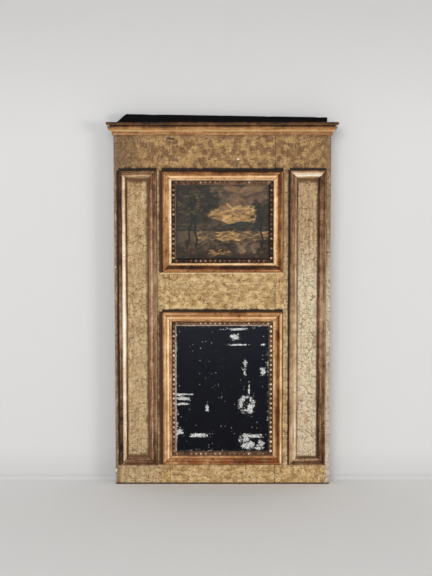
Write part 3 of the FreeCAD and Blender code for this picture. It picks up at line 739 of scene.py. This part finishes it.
# ---- pearls
def pearl_strip(node, seed):
    """The pearl beading of one side: a thin strip with bevelled sight edge and uneven pearls."""
    chance = random.Random(seed)
    stick = Stick(node)
    width, deck, sight = PEARL_STRIP["width"], PEARL_STRIP["height"], PEARL_STRIP["sight"]
    flat = width - PEARL_STRIP["slope"]
    section = path_through(((0.0, 0.0), (0.0, deck), (flat, deck), (width, sight), (width, 0.0)), (2, 6, 4, 2))
    outline = section + straight(section[-1], (0.0, 0.0), 6)[:-1]
    floor_tone, pearl_tone, sight_tone = tones(PEARL_LIGHT_AND_WEAR[node])
    spacing = 4.0
    rows = int(2.0 * stick.half / spacing)
    points, leaf_and_light, across = [], [], []
    for index, inwards, height, run, t in stick.stations(outline, rows):
        points.append(stick.point(t, inwards, height))
        on_sight = inwards > flat - 0.1 and index < len(section)
        leaf_and_light.append(sight_tone if on_sight else floor_tone)
        across.append(inwards * MM)
    faces = closed_grid(len(outline), rows + 1)

    line = PEARL_GAP + PEARL_RADIUS
    first = stick.half - line - (PEARL_RADIUS + PEARL_GAP) * math.sqrt(2.0)
    count = round(2.0 * first / PEARL_PITCH)
    rings, spokes = 9, 18
    for index in range(count + 1):
        t = -first + 2.0 * first * index / count + chance.uniform(-0.25, 0.25)
        size = PEARL_RADIUS * chance.uniform(0.93, 1.02)
        tall = chance.uniform(0.90, 1.06)
        lean = chance.uniform(-0.25, 0.25)
        # pearl tops lighter: wear and painted highlight
        top_tone = pearl_tone + chance.uniform(-0.30, 0.24)
        base = len(points)
        for ring in range(rings + 1):
            angle = math.radians(-30.0 + 120.0 * ring / rings)
            rise = deck + size * tall * math.sin(angle)
            for spoke in range(1 if ring == rings else spokes):
                turn = 2.0 * math.pi * spoke / spokes
                away = size * math.cos(angle) * (1.0 - 0.06 * math.cos(2.0 * turn))
                place = t + away * math.cos(turn), line + lean + away * math.sin(turn)
                points.append(stick.point(*place, max(rise, 0.4)))
                leaf_and_light.append(floor_tone + (top_tone - floor_tone) * max(0.0, math.sin(angle)) ** 1.4)
                across.append(0.5 * away * MM)
        for ring in range(rings - 1):
            for spoke in range(spokes):
                after = (spoke + 1) % spokes
                a, b = base + ring * spokes, base + (ring + 1) * spokes
                faces.append((a + after, a + spoke, b + spoke, b + after))
        last, tip = base + (rings - 1) * spokes, base + rings * spokes
        faces += [(last + (k + 1) % spokes, last + k, tip) for k in range(spokes)]
        faces.append(tuple(base + k for k in range(spokes)))
    points = np.array(points)
    points[:, 1] -= 0.06 * value_noise(points, 1.6, seed)
    points *= MM
    points[:, 1] = np.minimum(points[:, 1], 0.0) + BOARD_FRONT
    zeros = np.zeros(len(points))
    values = {"tone": leaf_and_light, "to_end": zeros + 1.0, "along": zeros, "across": across}
    make_piece(node, node + "_carved", points, faces, "pearl_gilding", values)


# ---- boards
def slab(outline, y_low, y_high, bevel=0.8, spacing=9.0, seed=1, bow=0.25, chips=0.5):
    """A worn board: an upright outline (x, z in mm) through a thickness, edges eased and chipped."""
    made = bmesh.new()
    corners = [made.verts.new((x, y_low, z)) for x, z in outline]
    face = made.faces.new(corners)
    bmesh.ops.recalc_face_normals(made, faces=[face])
    pushed = bmesh.ops.extrude_face_region(made, geom=[face])
    moved = [v for v in pushed["geom"] if isinstance(v, bmesh.types.BMVert)]
    bmesh.ops.translate(made, verts=moved, vec=(0, y_high - y_low, 0))
    bmesh.ops.recalc_face_normals(made, faces=made.faces[:])
    bmesh.ops.bevel(made, geom=made.edges[:], offset=bevel, segments=2, profile=0.6, affect="EDGES")
    xs, zs = [p[0] for p in outline], [p[1] for p in outline]
    for axis, low, high in ((0, min(xs), max(xs)), (2, min(zs), max(zs))):
        cuts = int((high - low) / spacing)
        for index in range(1, cuts):
            place, normal = [0.0, 0.0, 0.0], [0.0, 0.0, 0.0]
            place[axis] = low + (high - low) * index / cuts
            normal[axis] = 1.0
            geometry = made.verts[:] + made.edges[:] + made.faces[:]
            bmesh.ops.bisect_plane(made, geom=geometry, plane_co=place, plane_no=normal)
    points = np.array([v.co for v in made.verts])
    normals = np.array([v.normal for v in made.verts])
    on_edge = (np.abs(normals) > 0.12).sum(axis=1) > 1
    shift = bow * value_noise(points, 70.0, seed) * 0.5
    dents = ramp(value_noise(points, 7.0, seed + 5), 0.35, 0.9) * on_edge * chips
    points += normals * (shift * (np.abs(normals[:, 1]) > 0.9) - dents)[:, None]
    for vertex, place in zip(made.verts, points):
        vertex.co = Vector(place * MM)
    return made


def board(node, slot, outline=None, **options):
    """A worn board that stands for a flat CAD node, on the node's own box unless an outline is given."""
    low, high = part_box(node)
    low, high = low / MM, high / MM
    if outline is None:
        outline = [(low.x, low.z), (high.x, low.z), (high.x, high.z), (low.x, high.z)]
    made = slab(outline, low.y, high.y, **options)
    mesh = bpy.data.meshes.new(node + "_worn")
    made.to_mesh(mesh)
    made.free()
    return stand_for(node, node + "_worn", mesh, slot, 35.0)


def ground_boards():
    for seed, node in enumerate(("stile_left", "stile_right"), 10):
        board(node, "painted_ground", seed=seed, bevel=0.9)
    inner = STILE_INNER / MM
    for seed, node in enumerate(("bottom_rail", "middle_rail", "frieze_rail"), 20):
        low, high = (place.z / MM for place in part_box(node))
        outline = [(-inner, low), (inner, low), (inner, high), (-inner, high)]
        board(node, "painted_ground", outline, seed=seed, bevel=0.35, bow=0.0, chips=0.2)


def top_batten():
    low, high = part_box("top_batten")
    low, high = low / MM, high / MM
    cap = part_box("cornice_cap")[1].z / MM
    bevel, right_drop = 24.0, 7.5
    outline = [(low.x, low.z), (high.x, low.z), (high.x, high.z - right_drop), (low.x + bevel, high.z),
               (low.x, cap)]
    board("top_batten", "black_stained_wood", outline, seed=33, bevel=1.0, chips=0.9)


# ---- cornice
def crown_section(fillet, fillet_top, quirk, crest, groove_foot, groove):
    """(projection, height) points up the crown's face, in mm."""
    top = (CROWN_TOP - CORNICE_FOOT) / MM
    roll_foot = fillet_top + quirk
    recess = fillet - quirk
    belly = (crest - (crest - fillet) * 0.27, roll_foot + (groove_foot - roll_foot) * 0.30)
    points = path_through(((0.0, 0.0), (fillet, 0.0), (fillet, fillet_top), (recess, fillet_top),
                           (recess, roll_foot), (fillet, roll_foot)), (3, 5, 2, 2, 2))
    points += arc_through((fillet, roll_foot), belly, (crest, groove_foot), 16)
    return points + path_through(((crest, groove_foot), (groove, groove_foot), (groove, top)), (4, 4))[1:]


def crown_piece(node, place, start, end, spacing=2.5):
    """Sweeps the crown's section. place(projection, t) gives x and y; start and end bound t."""
    section = crown_section(**CROWN_SECTION)
    outline = section + straight(section[-1], (0.0, section[-1][1]), 3)
    outline += straight(outline[-1], (0.0, 0.0), 6)[:-1]
    front_tones = np.interp([height for projection, height in section], CORNICE_HEIGHTS, tones(CORNICE_LIGHT_AND_WEAR))
    outline_tones = list(front_tones) + [HIDDEN_CORNICE] * (len(outline) - len(section))
    rows = max(2, int((end(0.0) - start(0.0)) / spacing))
    points, leaf_and_light, ends, along, across = [], [], [], [], []
    for row in range(rows + 1):
        for (projection, height), tone in zip(outline, outline_tones):
            low, top = start(projection), end(projection)
            t = low + (top - low) * row / rows
            points.append((*place(projection, t), CORNICE_FOOT / MM + height))
            leaf_and_light.append(tone)
            ends.append(min(t - low, top - t) * MM)
            along.append(t * MM)
            across.append((projection + height) * MM)
    points = np.array(points)
    swell = wear(points, 61, 0.5) * np.array([projection > 0.5 for projection, height in outline] * (rows + 1))
    ahead = points[:, 1] < BOARD_FRONT / MM - 0.4
    points[:, 1] -= swell * ahead
    points[:, 0] += swell * ~ahead * np.copysign(1.0, points[:, 0])
    values = {"tone": leaf_and_light, "to_end": ends, "along": along, "across": across}
    faces = closed_grid(len(outline), rows + 1)
    make_piece(node, node + "_worn", points * MM, faces, "cornice_gilding", values)


def cornice():
    half, front, back = BODY_HALF / MM, BOARD_FRONT / MM, BOARD_BACK / MM
    crown_piece("cornice_front", lambda p, t: (t, front - p), lambda p: -half - p, lambda p: half + p)
    for side, node in ((-1, "cornice_left"), (1, "cornice_right")):
        crown_piece(node, lambda p, t, side=side: (side * (half + p), t), lambda p: front - p, lambda p: back)
    cap = board("cornice_cap", "cornice_gilding", bevel=1.3, spacing=6.0, seed=71, bow=0.1, chips=0.9).data
    heights = np.array([v.co.z - CORNICE_FOOT for v in cap.vertices]) / MM
    cap_tones = np.interp(heights, CORNICE_HEIGHTS, tones(CORNICE_LIGHT_AND_WEAR))
    add_values(cap, {"tone": cap_tones, "to_end": np.ones(len(heights))})


# ---- plates with a fine front
def fine_plate(name, node, slot, step, values, relief=None):
    """A plate whose front is a fine grid. values(u, v, rows, columns) gives attributes; u and v run from
    0 to 1 over the part that shows inside the frame."""
    low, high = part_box(node)
    prefix = "mirror" if node.startswith("mirror") else "picture"
    sight = PEARL_STRIP["width"] * MM
    left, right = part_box(prefix + "_pearls_left")[1].x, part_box(prefix + "_pearls_right")[0].x
    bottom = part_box(prefix + "_pearls_bottom")[0].z + sight
    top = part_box(prefix + "_pearls_top")[1].z - sight
    columns = int((high.x - low.x) / MM / step)
    rows = int((high.z - low.z) / MM / step)
    grid_x, grid_z = np.meshgrid(np.linspace(low.x, high.x, columns + 1), np.linspace(low.z, high.z, rows + 1))
    u = ((grid_x - left) / (right - left)).ravel()
    v = ((grid_z - bottom) / (top - bottom)).ravel()
    layers = values(u, v, rows + 1, columns + 1)
    depth = np.full(u.shape, low.y)
    if relief is not None:
        depth = depth + relief(layers)
    front = np.stack([grid_x.ravel(), depth, grid_z.ravel()], axis=1)
    wide = columns + 1
    faces = [(r * wide + c, r * wide + c + 1, (r + 1) * wide + c + 1, (r + 1) * wide + c)
             for r in range(rows) for c in range(columns)]
    rim = [c for c in range(wide)] + [r * wide + columns for r in range(1, rows + 1)]
    rim += [rows * wide + c for c in range(columns - 1, -1, -1)] + [r * wide for r in range(rows - 1, 0, -1)]
    start = len(front)
    back = front[rim].copy()
    back[:, 1] = high.y
    count = len(rim)
    faces += [(rim[k], start + k, start + (k + 1) % count, rim[(k + 1) % count]) for k in range(count)]
    faces.append(tuple(start + k for k in range(count - 1, -1, -1)))
    full = {key: np.concatenate((data, data[rim])) for key, data in layers.items()}
    make_piece(node, name, np.concatenate((front, back)), faces, slot, full, 40.0)


# ---- old looking glass
# Blots of lost silver: place (u, v), half width, half height, raggedness, how streaky.
BLOTS = (
    (0.640, 0.973, 0.100, 0.008, 0.9, 1.0), (0.630, 0.910, 0.048, 0.024, 0.4, 0.0),
    (0.680, 0.850, 0.085, 0.008, 0.9, 1.0), (0.745, 0.700, 0.022, 0.030, 0.7, 0.0),
    (0.740, 0.625, 0.018, 0.034, 0.8, 0.0), (0.945, 0.850, 0.028, 0.010, 0.8, 0.0),
    (0.950, 0.640, 0.030, 0.026, 0.9, 0.0), (0.050, 0.455, 0.110, 0.009, 0.9, 1.0),
    (0.050, 0.420, 0.140, 0.009, 0.9, 1.0), (0.050, 0.375, 0.080, 0.009, 0.9, 1.0),
    (0.335, 0.345, 0.016, 0.032, 0.3, 0.0), (0.030, 0.155, 0.040, 0.030, 1.2, 0.0),
    (0.260, 0.126, 0.095, 0.012, 0.9, 0.8), (0.790, 0.500, 0.009, 0.055, 0.5, 0.0),
    (0.800, 0.335, 0.030, 0.040, 0.7, 0.0), (0.820, 0.120, 0.120, 0.012, 0.9, 1.0),
    (0.735, 0.085, 0.040, 0.022, 1.6, 0.0), (0.780, 0.045, 0.070, 0.030, 1.4, 0.0),
    (0.910, 0.060, 0.050, 0.022, 1.6, 0.0), (0.870, 0.018, 0.090, 0.014, 1.6, 0.0),
)


def lost_silver(u, v, rows, columns):
    """How far the silver is gone at each point: above 0 it is lost."""
    width, height = GLASS_SIGHT
    place = np.stack([u * width, v * height], axis=1)
    rough = fractal(place, 9.0, 81)
    streaky = fractal(place * (0.25, 1.0), 5.0, 84)
    ring = np.sqrt(((u - 0.770) / 0.105) ** 2 + ((v - 0.375) / 0.075) ** 2)
    loss = np.clip(0.50 - np.abs(ring - 0.70) * 2.6 + 0.6 * rough, -1.0, 1.0)
    for cu, cv, half_u, half_v, ragged, streak in BLOTS:
        reach = np.sqrt(((u - cu) / half_u) ** 2 + ((v - cv) / half_v) ** 2)
        value = 1.0 - reach + ragged * rough * (1.0 - streak) + ragged * streaky * streak * 1.4
        loss = np.maximum(loss, np.clip(value, -1.0, 1.0))
    edge = np.minimum(np.minimum(u, 1.0 - u) * width, np.minimum(v, 1.0 - v) * height)
    creep = 0.55 * fractal(place, 6.0, 91) + 0.35 * value_noise(place, 40.0, 95)
    return {"loss": np.maximum(loss, np.clip(creep - 0.18 - edge / 9.0, -1.0, 1.0))}


def looking_glass():
    s = Shader("silvered_glass")
    fine = s.noise(0.0018, 3.0, rough=0.65)
    ragged = s.noise(0.0050, 4.0, rough=0.65, shift=3.0)
    streak = s.noise(0.0030, 3.0, stretch=(0.22, 1, 1), shift=9.0)
    gone = s.attribute("loss")
    for noise, strength in ((fine, 2.4), (ragged, 2.2), (streak, 1.4)):
        gone = s.add(gone, s.times(s.minus(noise, 0.5), strength))
    crowd = s.step(s.noise(0.045, 3.0, shift=13.0), 0.54, 0.66)
    speck = s.most(s.times(s.dots(0.0075, 0.0008, 0.35, 1.0), crowd),
                   s.times(s.dots(0.024, 0.0011, 0.22, 5.0), 0.6))
    bare = s.times(s.step(gone, 0.10, 0.28), s.add(0.55, s.times(s.step(fine, 0.35, 0.6), 0.45)))
    lost = s.most(bare, s.times(speck, 0.85))
    cloud = s.noise(0.03, 4.0, shift=21.0)
    # painted reflection: the silver is a near-black blue that stands in for the dark surroundings it mirrors
    silver = s.mix(cloud, (0.0034, 0.0040, 0.0080, 1.0), (0.0090, 0.0100, 0.0160, 1.0))
    ground = s.mix(s.step(s.noise(0.004, 3.0, shift=29.0), 0.38, 0.62), (176, 178, 174), (244, 244, 240))
    colour = s.layers(silver, (s.step(gone, -0.7, 0.1), 0.50, (0.026, 0.029, 0.034, 1.0)), (lost, 1.0, ground))
    return s.finish(base_color=colour, metallic=s.minus(1.0, lost),
                    roughness=s.add(0.10, s.times(lost, 0.45), s.times(cloud, 0.06)),
                    coat_weight=0.22, coat_roughness=0.03, coat_ior=1.5)


# ---- painted panel
def oil(red, green, blue):
    return np.array(srgb(red, green, blue)[:3])


class Canvas:
    """A small oil sketch laid down with dabs. The picture is a made-up lake valley."""

    def __init__(self, u, v, rows, columns, seed=5):
        self.u = u.reshape(rows, columns)
        self.v = v.reshape(rows, columns)
        self.colour = np.zeros((rows, columns, 3))
        self.random = np.random.default_rng(seed)
        self.place = np.stack([u * PAINTING_SIGHT[0], v * PAINTING_SIGHT[1]], axis=1)

    def noise(self, cell, seed):
        return fractal(self.place, cell, seed).reshape(self.u.shape)

    def wash(self, mask, colour):
        mask = np.clip(mask, 0.0, 1.0)[..., None]
        self.colour = self.colour * (1.0 - mask) + oil(*colour) * mask

    def dabs(self, count, region, size, stretch, palette, strength=0.7, tilt=0.0):
        """Many short strokes inside region (u0, v0, u1, v1)."""
        u0, v0, u1, v1 = region
        step_u = self.u[0, 1] - self.u[0, 0]
        step_v = self.v[1, 0] - self.v[0, 0]
        for _ in range(count):
            cu, cv = self.random.uniform(u0, u1), self.random.uniform(v0, v1)
            long = size * self.random.uniform(0.5, 1.3)
            short = long / stretch
            angle = tilt + self.random.normal(0.0, 0.35)
            column = int((cu - self.u[0, 0]) / step_u)
            row = int((cv - self.v[0, 0]) / step_v)
            reach_c, reach_r = int(long / step_u) + 2, int(long * 1.25 / step_v) + 2
            rows = slice(max(row - reach_r, 0), max(row + reach_r, 0))
            columns = slice(max(column - reach_c, 0), max(column + reach_c, 0))
            du = self.u[rows, columns] - cu
            dv = (self.v[rows, columns] - cv) * 0.8
            if du.size == 0:
                continue
            along = du * math.cos(angle) + dv * math.sin(angle)
            across = -du * math.sin(angle) + dv * math.cos(angle)
            near = (along / long) ** 2 + (across / short) ** 2
            mask = ramp(-near, -1.0, -0.35)[..., None] * strength
            paint = oil(*palette[self.random.integers(len(palette))]) * self.random.uniform(0.8, 1.25)
            self.colour[rows, columns] = self.colour[rows, columns] * (1 - mask) + paint * mask


def oil_sketch(u, v, rows, columns):
    """A lake between hills at dusk: tall trees at the left, rocks and reeds in front."""
    c = Canvas(u, v, rows, columns)
    dark_green, blue_green = (26, 27, 20), (50, 52, 44)
    brown, ochre = (62, 42, 26), (206, 158, 92)
    dusk, cloud, rose = (154, 118, 78), (74, 60, 46), (132, 98, 76)
    sky = ramp(c.v, 0.42, 0.95)[..., None]
    c.colour = oil(*ochre) * (1 - sky) + oil(*cloud) * sky
    c.wash(ramp(c.noise(40.0, 3) + c.v * 0.8, 0.5, 1.0) * 0.8, cloud)
    c.dabs(260, (-0.05, 0.50, 1.05, 1.02), 0.10, 3.0, [dusk, cloud, rose, (100, 82, 66)], 0.55, 0.15)
    c.dabs(110, (0.35, 0.47, 0.88, 0.70), 0.07, 4.0, [ochre, (226, 182, 118), dusk], 0.65)
    hill = 0.50 + 0.10 * np.sin(c.u * 5.0 + 0.6) + 0.02 * c.noise(12.0, 9)
    c.wash(ramp(hill - c.v, 0.0, 0.012) * 0.92, (80, 70, 58))
    hill = 0.45 + 0.06 * np.sin(c.u * 7.0 + 2.6) + 0.02 * c.noise(9.0, 12)
    c.wash(ramp(hill - c.v, 0.0, 0.012), blue_green)
    c.dabs(160, (0.0, 0.36, 1.0, 0.46), 0.035, 2.5, [blue_green, dark_green, (86, 70, 48)], 0.6)
    c.wash(ramp(0.375 - c.v, 0.0, 0.008) * ramp(c.v, 0.12, 0.14), (98, 80, 58))
    c.dabs(150, (0.2, 0.19, 1.0, 0.365), 0.06, 8.0, [(116, 94, 66), (52, 50, 42), ochre, dusk], 0.6)
    c.dabs(50, (0.46, 0.24, 0.68, 0.36), 0.045, 7.0, [(228, 184, 116), ochre], 0.75)
    shore = 0.20 + 0.07 * np.sin(c.u * 4.2 + 3.4) + 0.03 * c.noise(14.0, 15)
    c.wash(ramp(shore - c.v, 0.0, 0.02), brown)
    reeds = [brown, dark_green, (104, 76, 46), (34, 26, 18)]
    c.dabs(260, (-0.02, -0.02, 1.02, 0.24), 0.035, 2.0, reeds, 0.6, 0.4)
    for trunk, lean, top in ((0.13, 0.10, 0.80), (0.22, -0.05, 0.70), (0.93, -0.06, 0.62)):
        centre = trunk + lean * (c.v - 0.2) + 0.008 * np.sin(c.v * 30.0)
        c.wash(ramp(0.013 - np.abs(c.u - centre), 0.0, 0.006) * ramp(top - c.v, 0.0, 0.05)
               * ramp(c.v, 0.10, 0.14), (24, 17, 11))
    leaves = [dark_green, (22, 24, 18), (48, 46, 30), (58, 46, 28)]
    c.dabs(420, (-0.04, 0.50, 0.36, 0.98), 0.045, 1.6, leaves, 0.75, 0.6)
    c.dabs(140, (0.20, 0.66, 0.46, 0.90), 0.03, 1.6, leaves, 0.7, 0.2)
    c.dabs(130, (0.87, 0.46, 1.04, 0.74), 0.035, 1.6, leaves, 0.75, 0.5)
    c.dabs(50, (0.80, 0.50, 1.00, 0.80), 0.026, 1.6, leaves, 0.70, 0.5)
    c.dabs(70, (0.02, 0.60, 0.30, 0.94), 0.02, 1.8, [(116, 96, 56), (84, 72, 44)], 0.55)
    c.dabs(40, (0.66, 0.08, 0.90, 0.20), 0.04, 1.5, [(146, 118, 86), (72, 58, 46)], 0.75)
    c.dabs(30, (0.36, 0.04, 0.58, 0.12), 0.03, 3.0, [(176, 134, 80), (116, 84, 50)], 0.7)
    c.wash(0.20 + 0.25 * ramp(c.noise(30.0, 21), 0.0, 0.8), (34, 22, 12))
    edge = np.minimum(np.minimum(c.u, 1 - c.u), np.minimum(c.v, 1 - c.v))
    c.wash(ramp(-edge, -0.035, 0.0) * 0.55, (36, 26, 18))
    flat = c.colour.reshape(-1, 3)
    return {"paint": np.concatenate((flat, np.ones((len(flat), 1))), axis=1)}


def impasto(layers):
    """Thicker paint where it is lighter, in metres towards the viewer."""
    thickest = 0.00035
    bright = layers["paint"][:, :3].mean(axis=1)
    return -thickest * np.sqrt(np.clip(bright, 0.0, 1.0))


def old_varnish():
    s = Shader("oil_painting")
    craze = s.cells(0.0042, "DISTANCE_TO_EDGE", wobble=0.5)
    crack = s.times(s.step(craze, 0.09, 0.02), s.step(s.noise(0.02, 3.0, shift=4.0), 0.4, 0.6))
    brush = s.noise(0.002, 3.0, stretch=(0.4, 1, 1), shift=12.0)
    colour = s.layers(s.attribute("paint", "Color"),
                      (crack, 0.6, (18, 14, 10)),
                      (s.step(s.noise(0.0035, 3.0, shift=8.0), 0.60, 0.72), 0.20, (136, 104, 66)),
                      (s.step(s.noise(0.0030, 3.0, shift=18.0), 0.58, 0.70), 0.65, (22, 14, 8)))
    height = s.add(s.times(brush, 0.5), s.times(crack, -0.7))
    return s.finish(base_color=colour, roughness=0.55, specular_ior_level=0.25, coat_weight=0.08,
                    coat_roughness=0.25, normal=s.bump(height, 0.0003))


# ---- stage, light, camera
def stage_material(name, colour):
    """Pale matt paper, with painted shade: darker high on the wall, at the wall's foot and in the cove. It is
    clear from behind, and just behind the object it lets lamps through, so that the back can be seen and is
    lit."""
    s = Shader(name)

    uneven, wall_top, wall_foot_shade, cove_shade_depth = 0.97, 0.79, 0.875, 0.10
    floor = (244, 243, 240)

    def darker(share):
        return tuple(share * c for c in srgb(*colour)[:3]) + (1.0,)

    # painted shade on the paper: darker high up, at the wall's foot and in the cove
    cove_shade = s.times(s.step(s.z, 0.0115, 0.0065), s.step(s.z, 0.0, 0.002))
    paper = s.layers(s.mix(s.noise(0.6, 2.0), colour, darker(uneven)),
                     (s.step(s.z, 0.75, 1.20), 1.0, darker(wall_top)),
                     (s.step(s.z, 0.085, 0.0), 1.0, darker(wall_foot_shade)),
                     (s.step(s.z, 0.010, 0.0), 1.0, floor),
                     (cove_shade, cove_shade_depth, (0, 0, 0)))
    s.finish(base_color=paper, roughness=0.9, specular_ior_level=0.1)
    clear = s.node("ShaderNodeBsdfTransparent")
    behind = s.node("ShaderNodeNewGeometry").outputs["Backfacing"]
    soft, window_foot = 0.004, 0.018
    window = s.times(s.step(s.size(s.x), BODY_HALF, BODY_HALF - soft),
                     s.step(s.z, window_foot, window_foot + soft),
                     s.step(s.z, CROWN_TOP, CROWN_TOP - soft),
                     s.node("ShaderNodeLightPath").outputs["Is Shadow Ray"])
    sheet = s.node("ShaderNodeMixShader",
                   {0: s.most(behind, window), 1: s.surface.outputs[0], 2: clear.outputs[0]})
    s.tree.links.new(sheet.outputs[0], s.tree.nodes["Material Output"].inputs["Surface"])
    return s.material


def sweep():
    """Floor and wall in one sheet with a small cove, just behind the object."""
    gap, cove = 0.016, 0.0155
    reach, wall_top, wide = 6.0, 3.5, 4.0
    wall_y = WALL_FACE + gap
    profile = [(-reach, 0.0), (wall_y - cove, 0.0)]
    profile += [(wall_y - cove + cove * math.sin(a), cove - cove * math.cos(a))
                for a in np.radians(np.linspace(7.5, 82.5, 11))]
    profile += [(wall_y, cove), (wall_y, wall_top)]
    vertices = [(x, y, z) for y, z in profile for x in (-wide, wide)]
    faces = [(a - 2, a - 1, a + 1, a) for a in range(2, len(vertices), 2)]
    mesh = bpy.data.meshes.new("sweep")
    mesh.from_pydata(vertices, [], faces)
    mesh.shade_smooth()
    mesh.materials.append(stage_material("pale_paper", (226, 225, 224)))
    sheet = bpy.data.objects.new("sweep", mesh)
    bpy.context.scene.collection.objects.link(sheet)


def area_light(name, place, target, size, power, colour=(1.0, 1.0, 1.0)):
    data = bpy.data.lights.new(name, "AREA")
    data.shape = "RECTANGLE"
    data.size, data.size_y = size
    data.energy = power
    data.color = colour
    lamp = bpy.data.objects.new(name, data)
    lamp.location = place
    lamp.rotation_euler = (Vector(target) - Vector(place)).to_track_quat("-Z", "Y").to_euler()
    bpy.context.scene.collection.objects.link(lamp)


def light():
    area_light("key", (4.0, -4.2, 0.45), (0.0, 0.0, 0.42), (1.6, 0.8), 70.0, (1.0, 0.97, 0.93))
    area_light("front", (-0.7, -4.0, 1.5), (0.0, 0.0, 0.35), (2.4, 1.8), 72.0, (0.98, 0.99, 1.0))
    area_light("back", (0.9, 3.4, 1.4), (0.0, 0.0, 0.45), (2.0, 1.6), 45.0)
    world = bpy.data.worlds.new("studio")
    bpy.context.scene.world = world
    world.use_nodes = True
    background = world.node_tree.nodes["Background"]
    background.inputs["Color"].default_value = (0.96, 0.97, 1.0, 1.0)
    background.inputs["Strength"].default_value = 0.38


def camera():
    """Set 2.54 m before the boards, 0.65 m up, tilted down: the photograph's taper."""
    focal_pixels, frame_long = 1100.0, 576.0
    pitch, distance, height, right_shift = 4.177, 2.5418, 0.6469, 6.4
    data = bpy.data.cameras.new("camera")
    data.sensor_width = 36.0
    data.lens = focal_pixels * data.sensor_width / frame_long
    data.shift_x = -right_shift / frame_long
    view = bpy.data.objects.new("camera", data)
    view.location = (0.0, BOARD_FRONT - distance, height)
    view.rotation_euler = (math.radians(90.0 - pitch), 0.0, 0.0)
    bpy.context.scene.collection.objects.link(view)
    bpy.context.scene.camera = view


# ---- the object
def dress_cad_nodes():
    """Gives each CAD node that keeps its shape its material."""
    batten, shade = (120, 88, 60), (84, 60, 40)
    flat = aged_wood("dark_batten_wood_across", batten, shade, "x", 3.0, 0.25)
    tall = aged_wood("dark_batten_wood_upright", batten, shade, "z", 5.0, 0.25)
    thin = aged_wood("back_board_wood", (164, 130, 92), (122, 90, 58), "z", 9.0, 0.35)
    split = aged_wood("wedge_wood", (176, 142, 100), (140, 106, 70), "z", 13.0, 0.2)
    metal = iron()
    dressed = {"middle_batten": flat, "bottom_batten": flat, "left_batten": tall, "right_batten": tall,
               "mirror_back_board": thin, "picture_back_board": thin, "mirror_wedges": split,
               "picture_wedges": split, "batten_nails": metal, "back_board_tacks": metal}
    for node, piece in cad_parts.items():
        material = metal if node.startswith("hanger") else dressed.get(node)
        if material:
            piece.data.materials.clear()
            piece.data.materials.append(material)


def build():
    ground_boards()
    cornice()
    frame_section = rolled_section(**FRAME_SECTION)
    panel_section = rolled_section(**PANEL_SECTION)
    for seed, side in enumerate(SIDE_TURNS, 50):
        for prefix in ("mirror", "picture"):
            mitred_moulding("%s_frame_%s" % (prefix, side), frame_section, "frame_gilding", 41)
            pearl_strip("%s_pearls_%s" % (prefix, side), seed)
        for prefix in ("left", "right"):
            mitred_moulding("%s_panel_%s" % (prefix, side), panel_section, "panel_moulding_gilding", 47)
    fine_plate("looking_glass", "mirror_plate", "silvered_glass", 1.0, lost_silver)
    fine_plate("lake_painting", "painted_panel", "oil_painting", 0.8, oil_sketch, impasto)
    top_batten()
    dress_cad_nodes()


looks = {name: gilding(name) for name in GILDING}
looks["painted_ground"] = painted_ground()
looks["silvered_glass"] = looking_glass()
looks["oil_painting"] = old_varnish()
looks["black_stained_wood"] = black_stain()
build()
sweep()
light()
camera()
bpy.context.scene.view_settings.view_transform = "Standard"
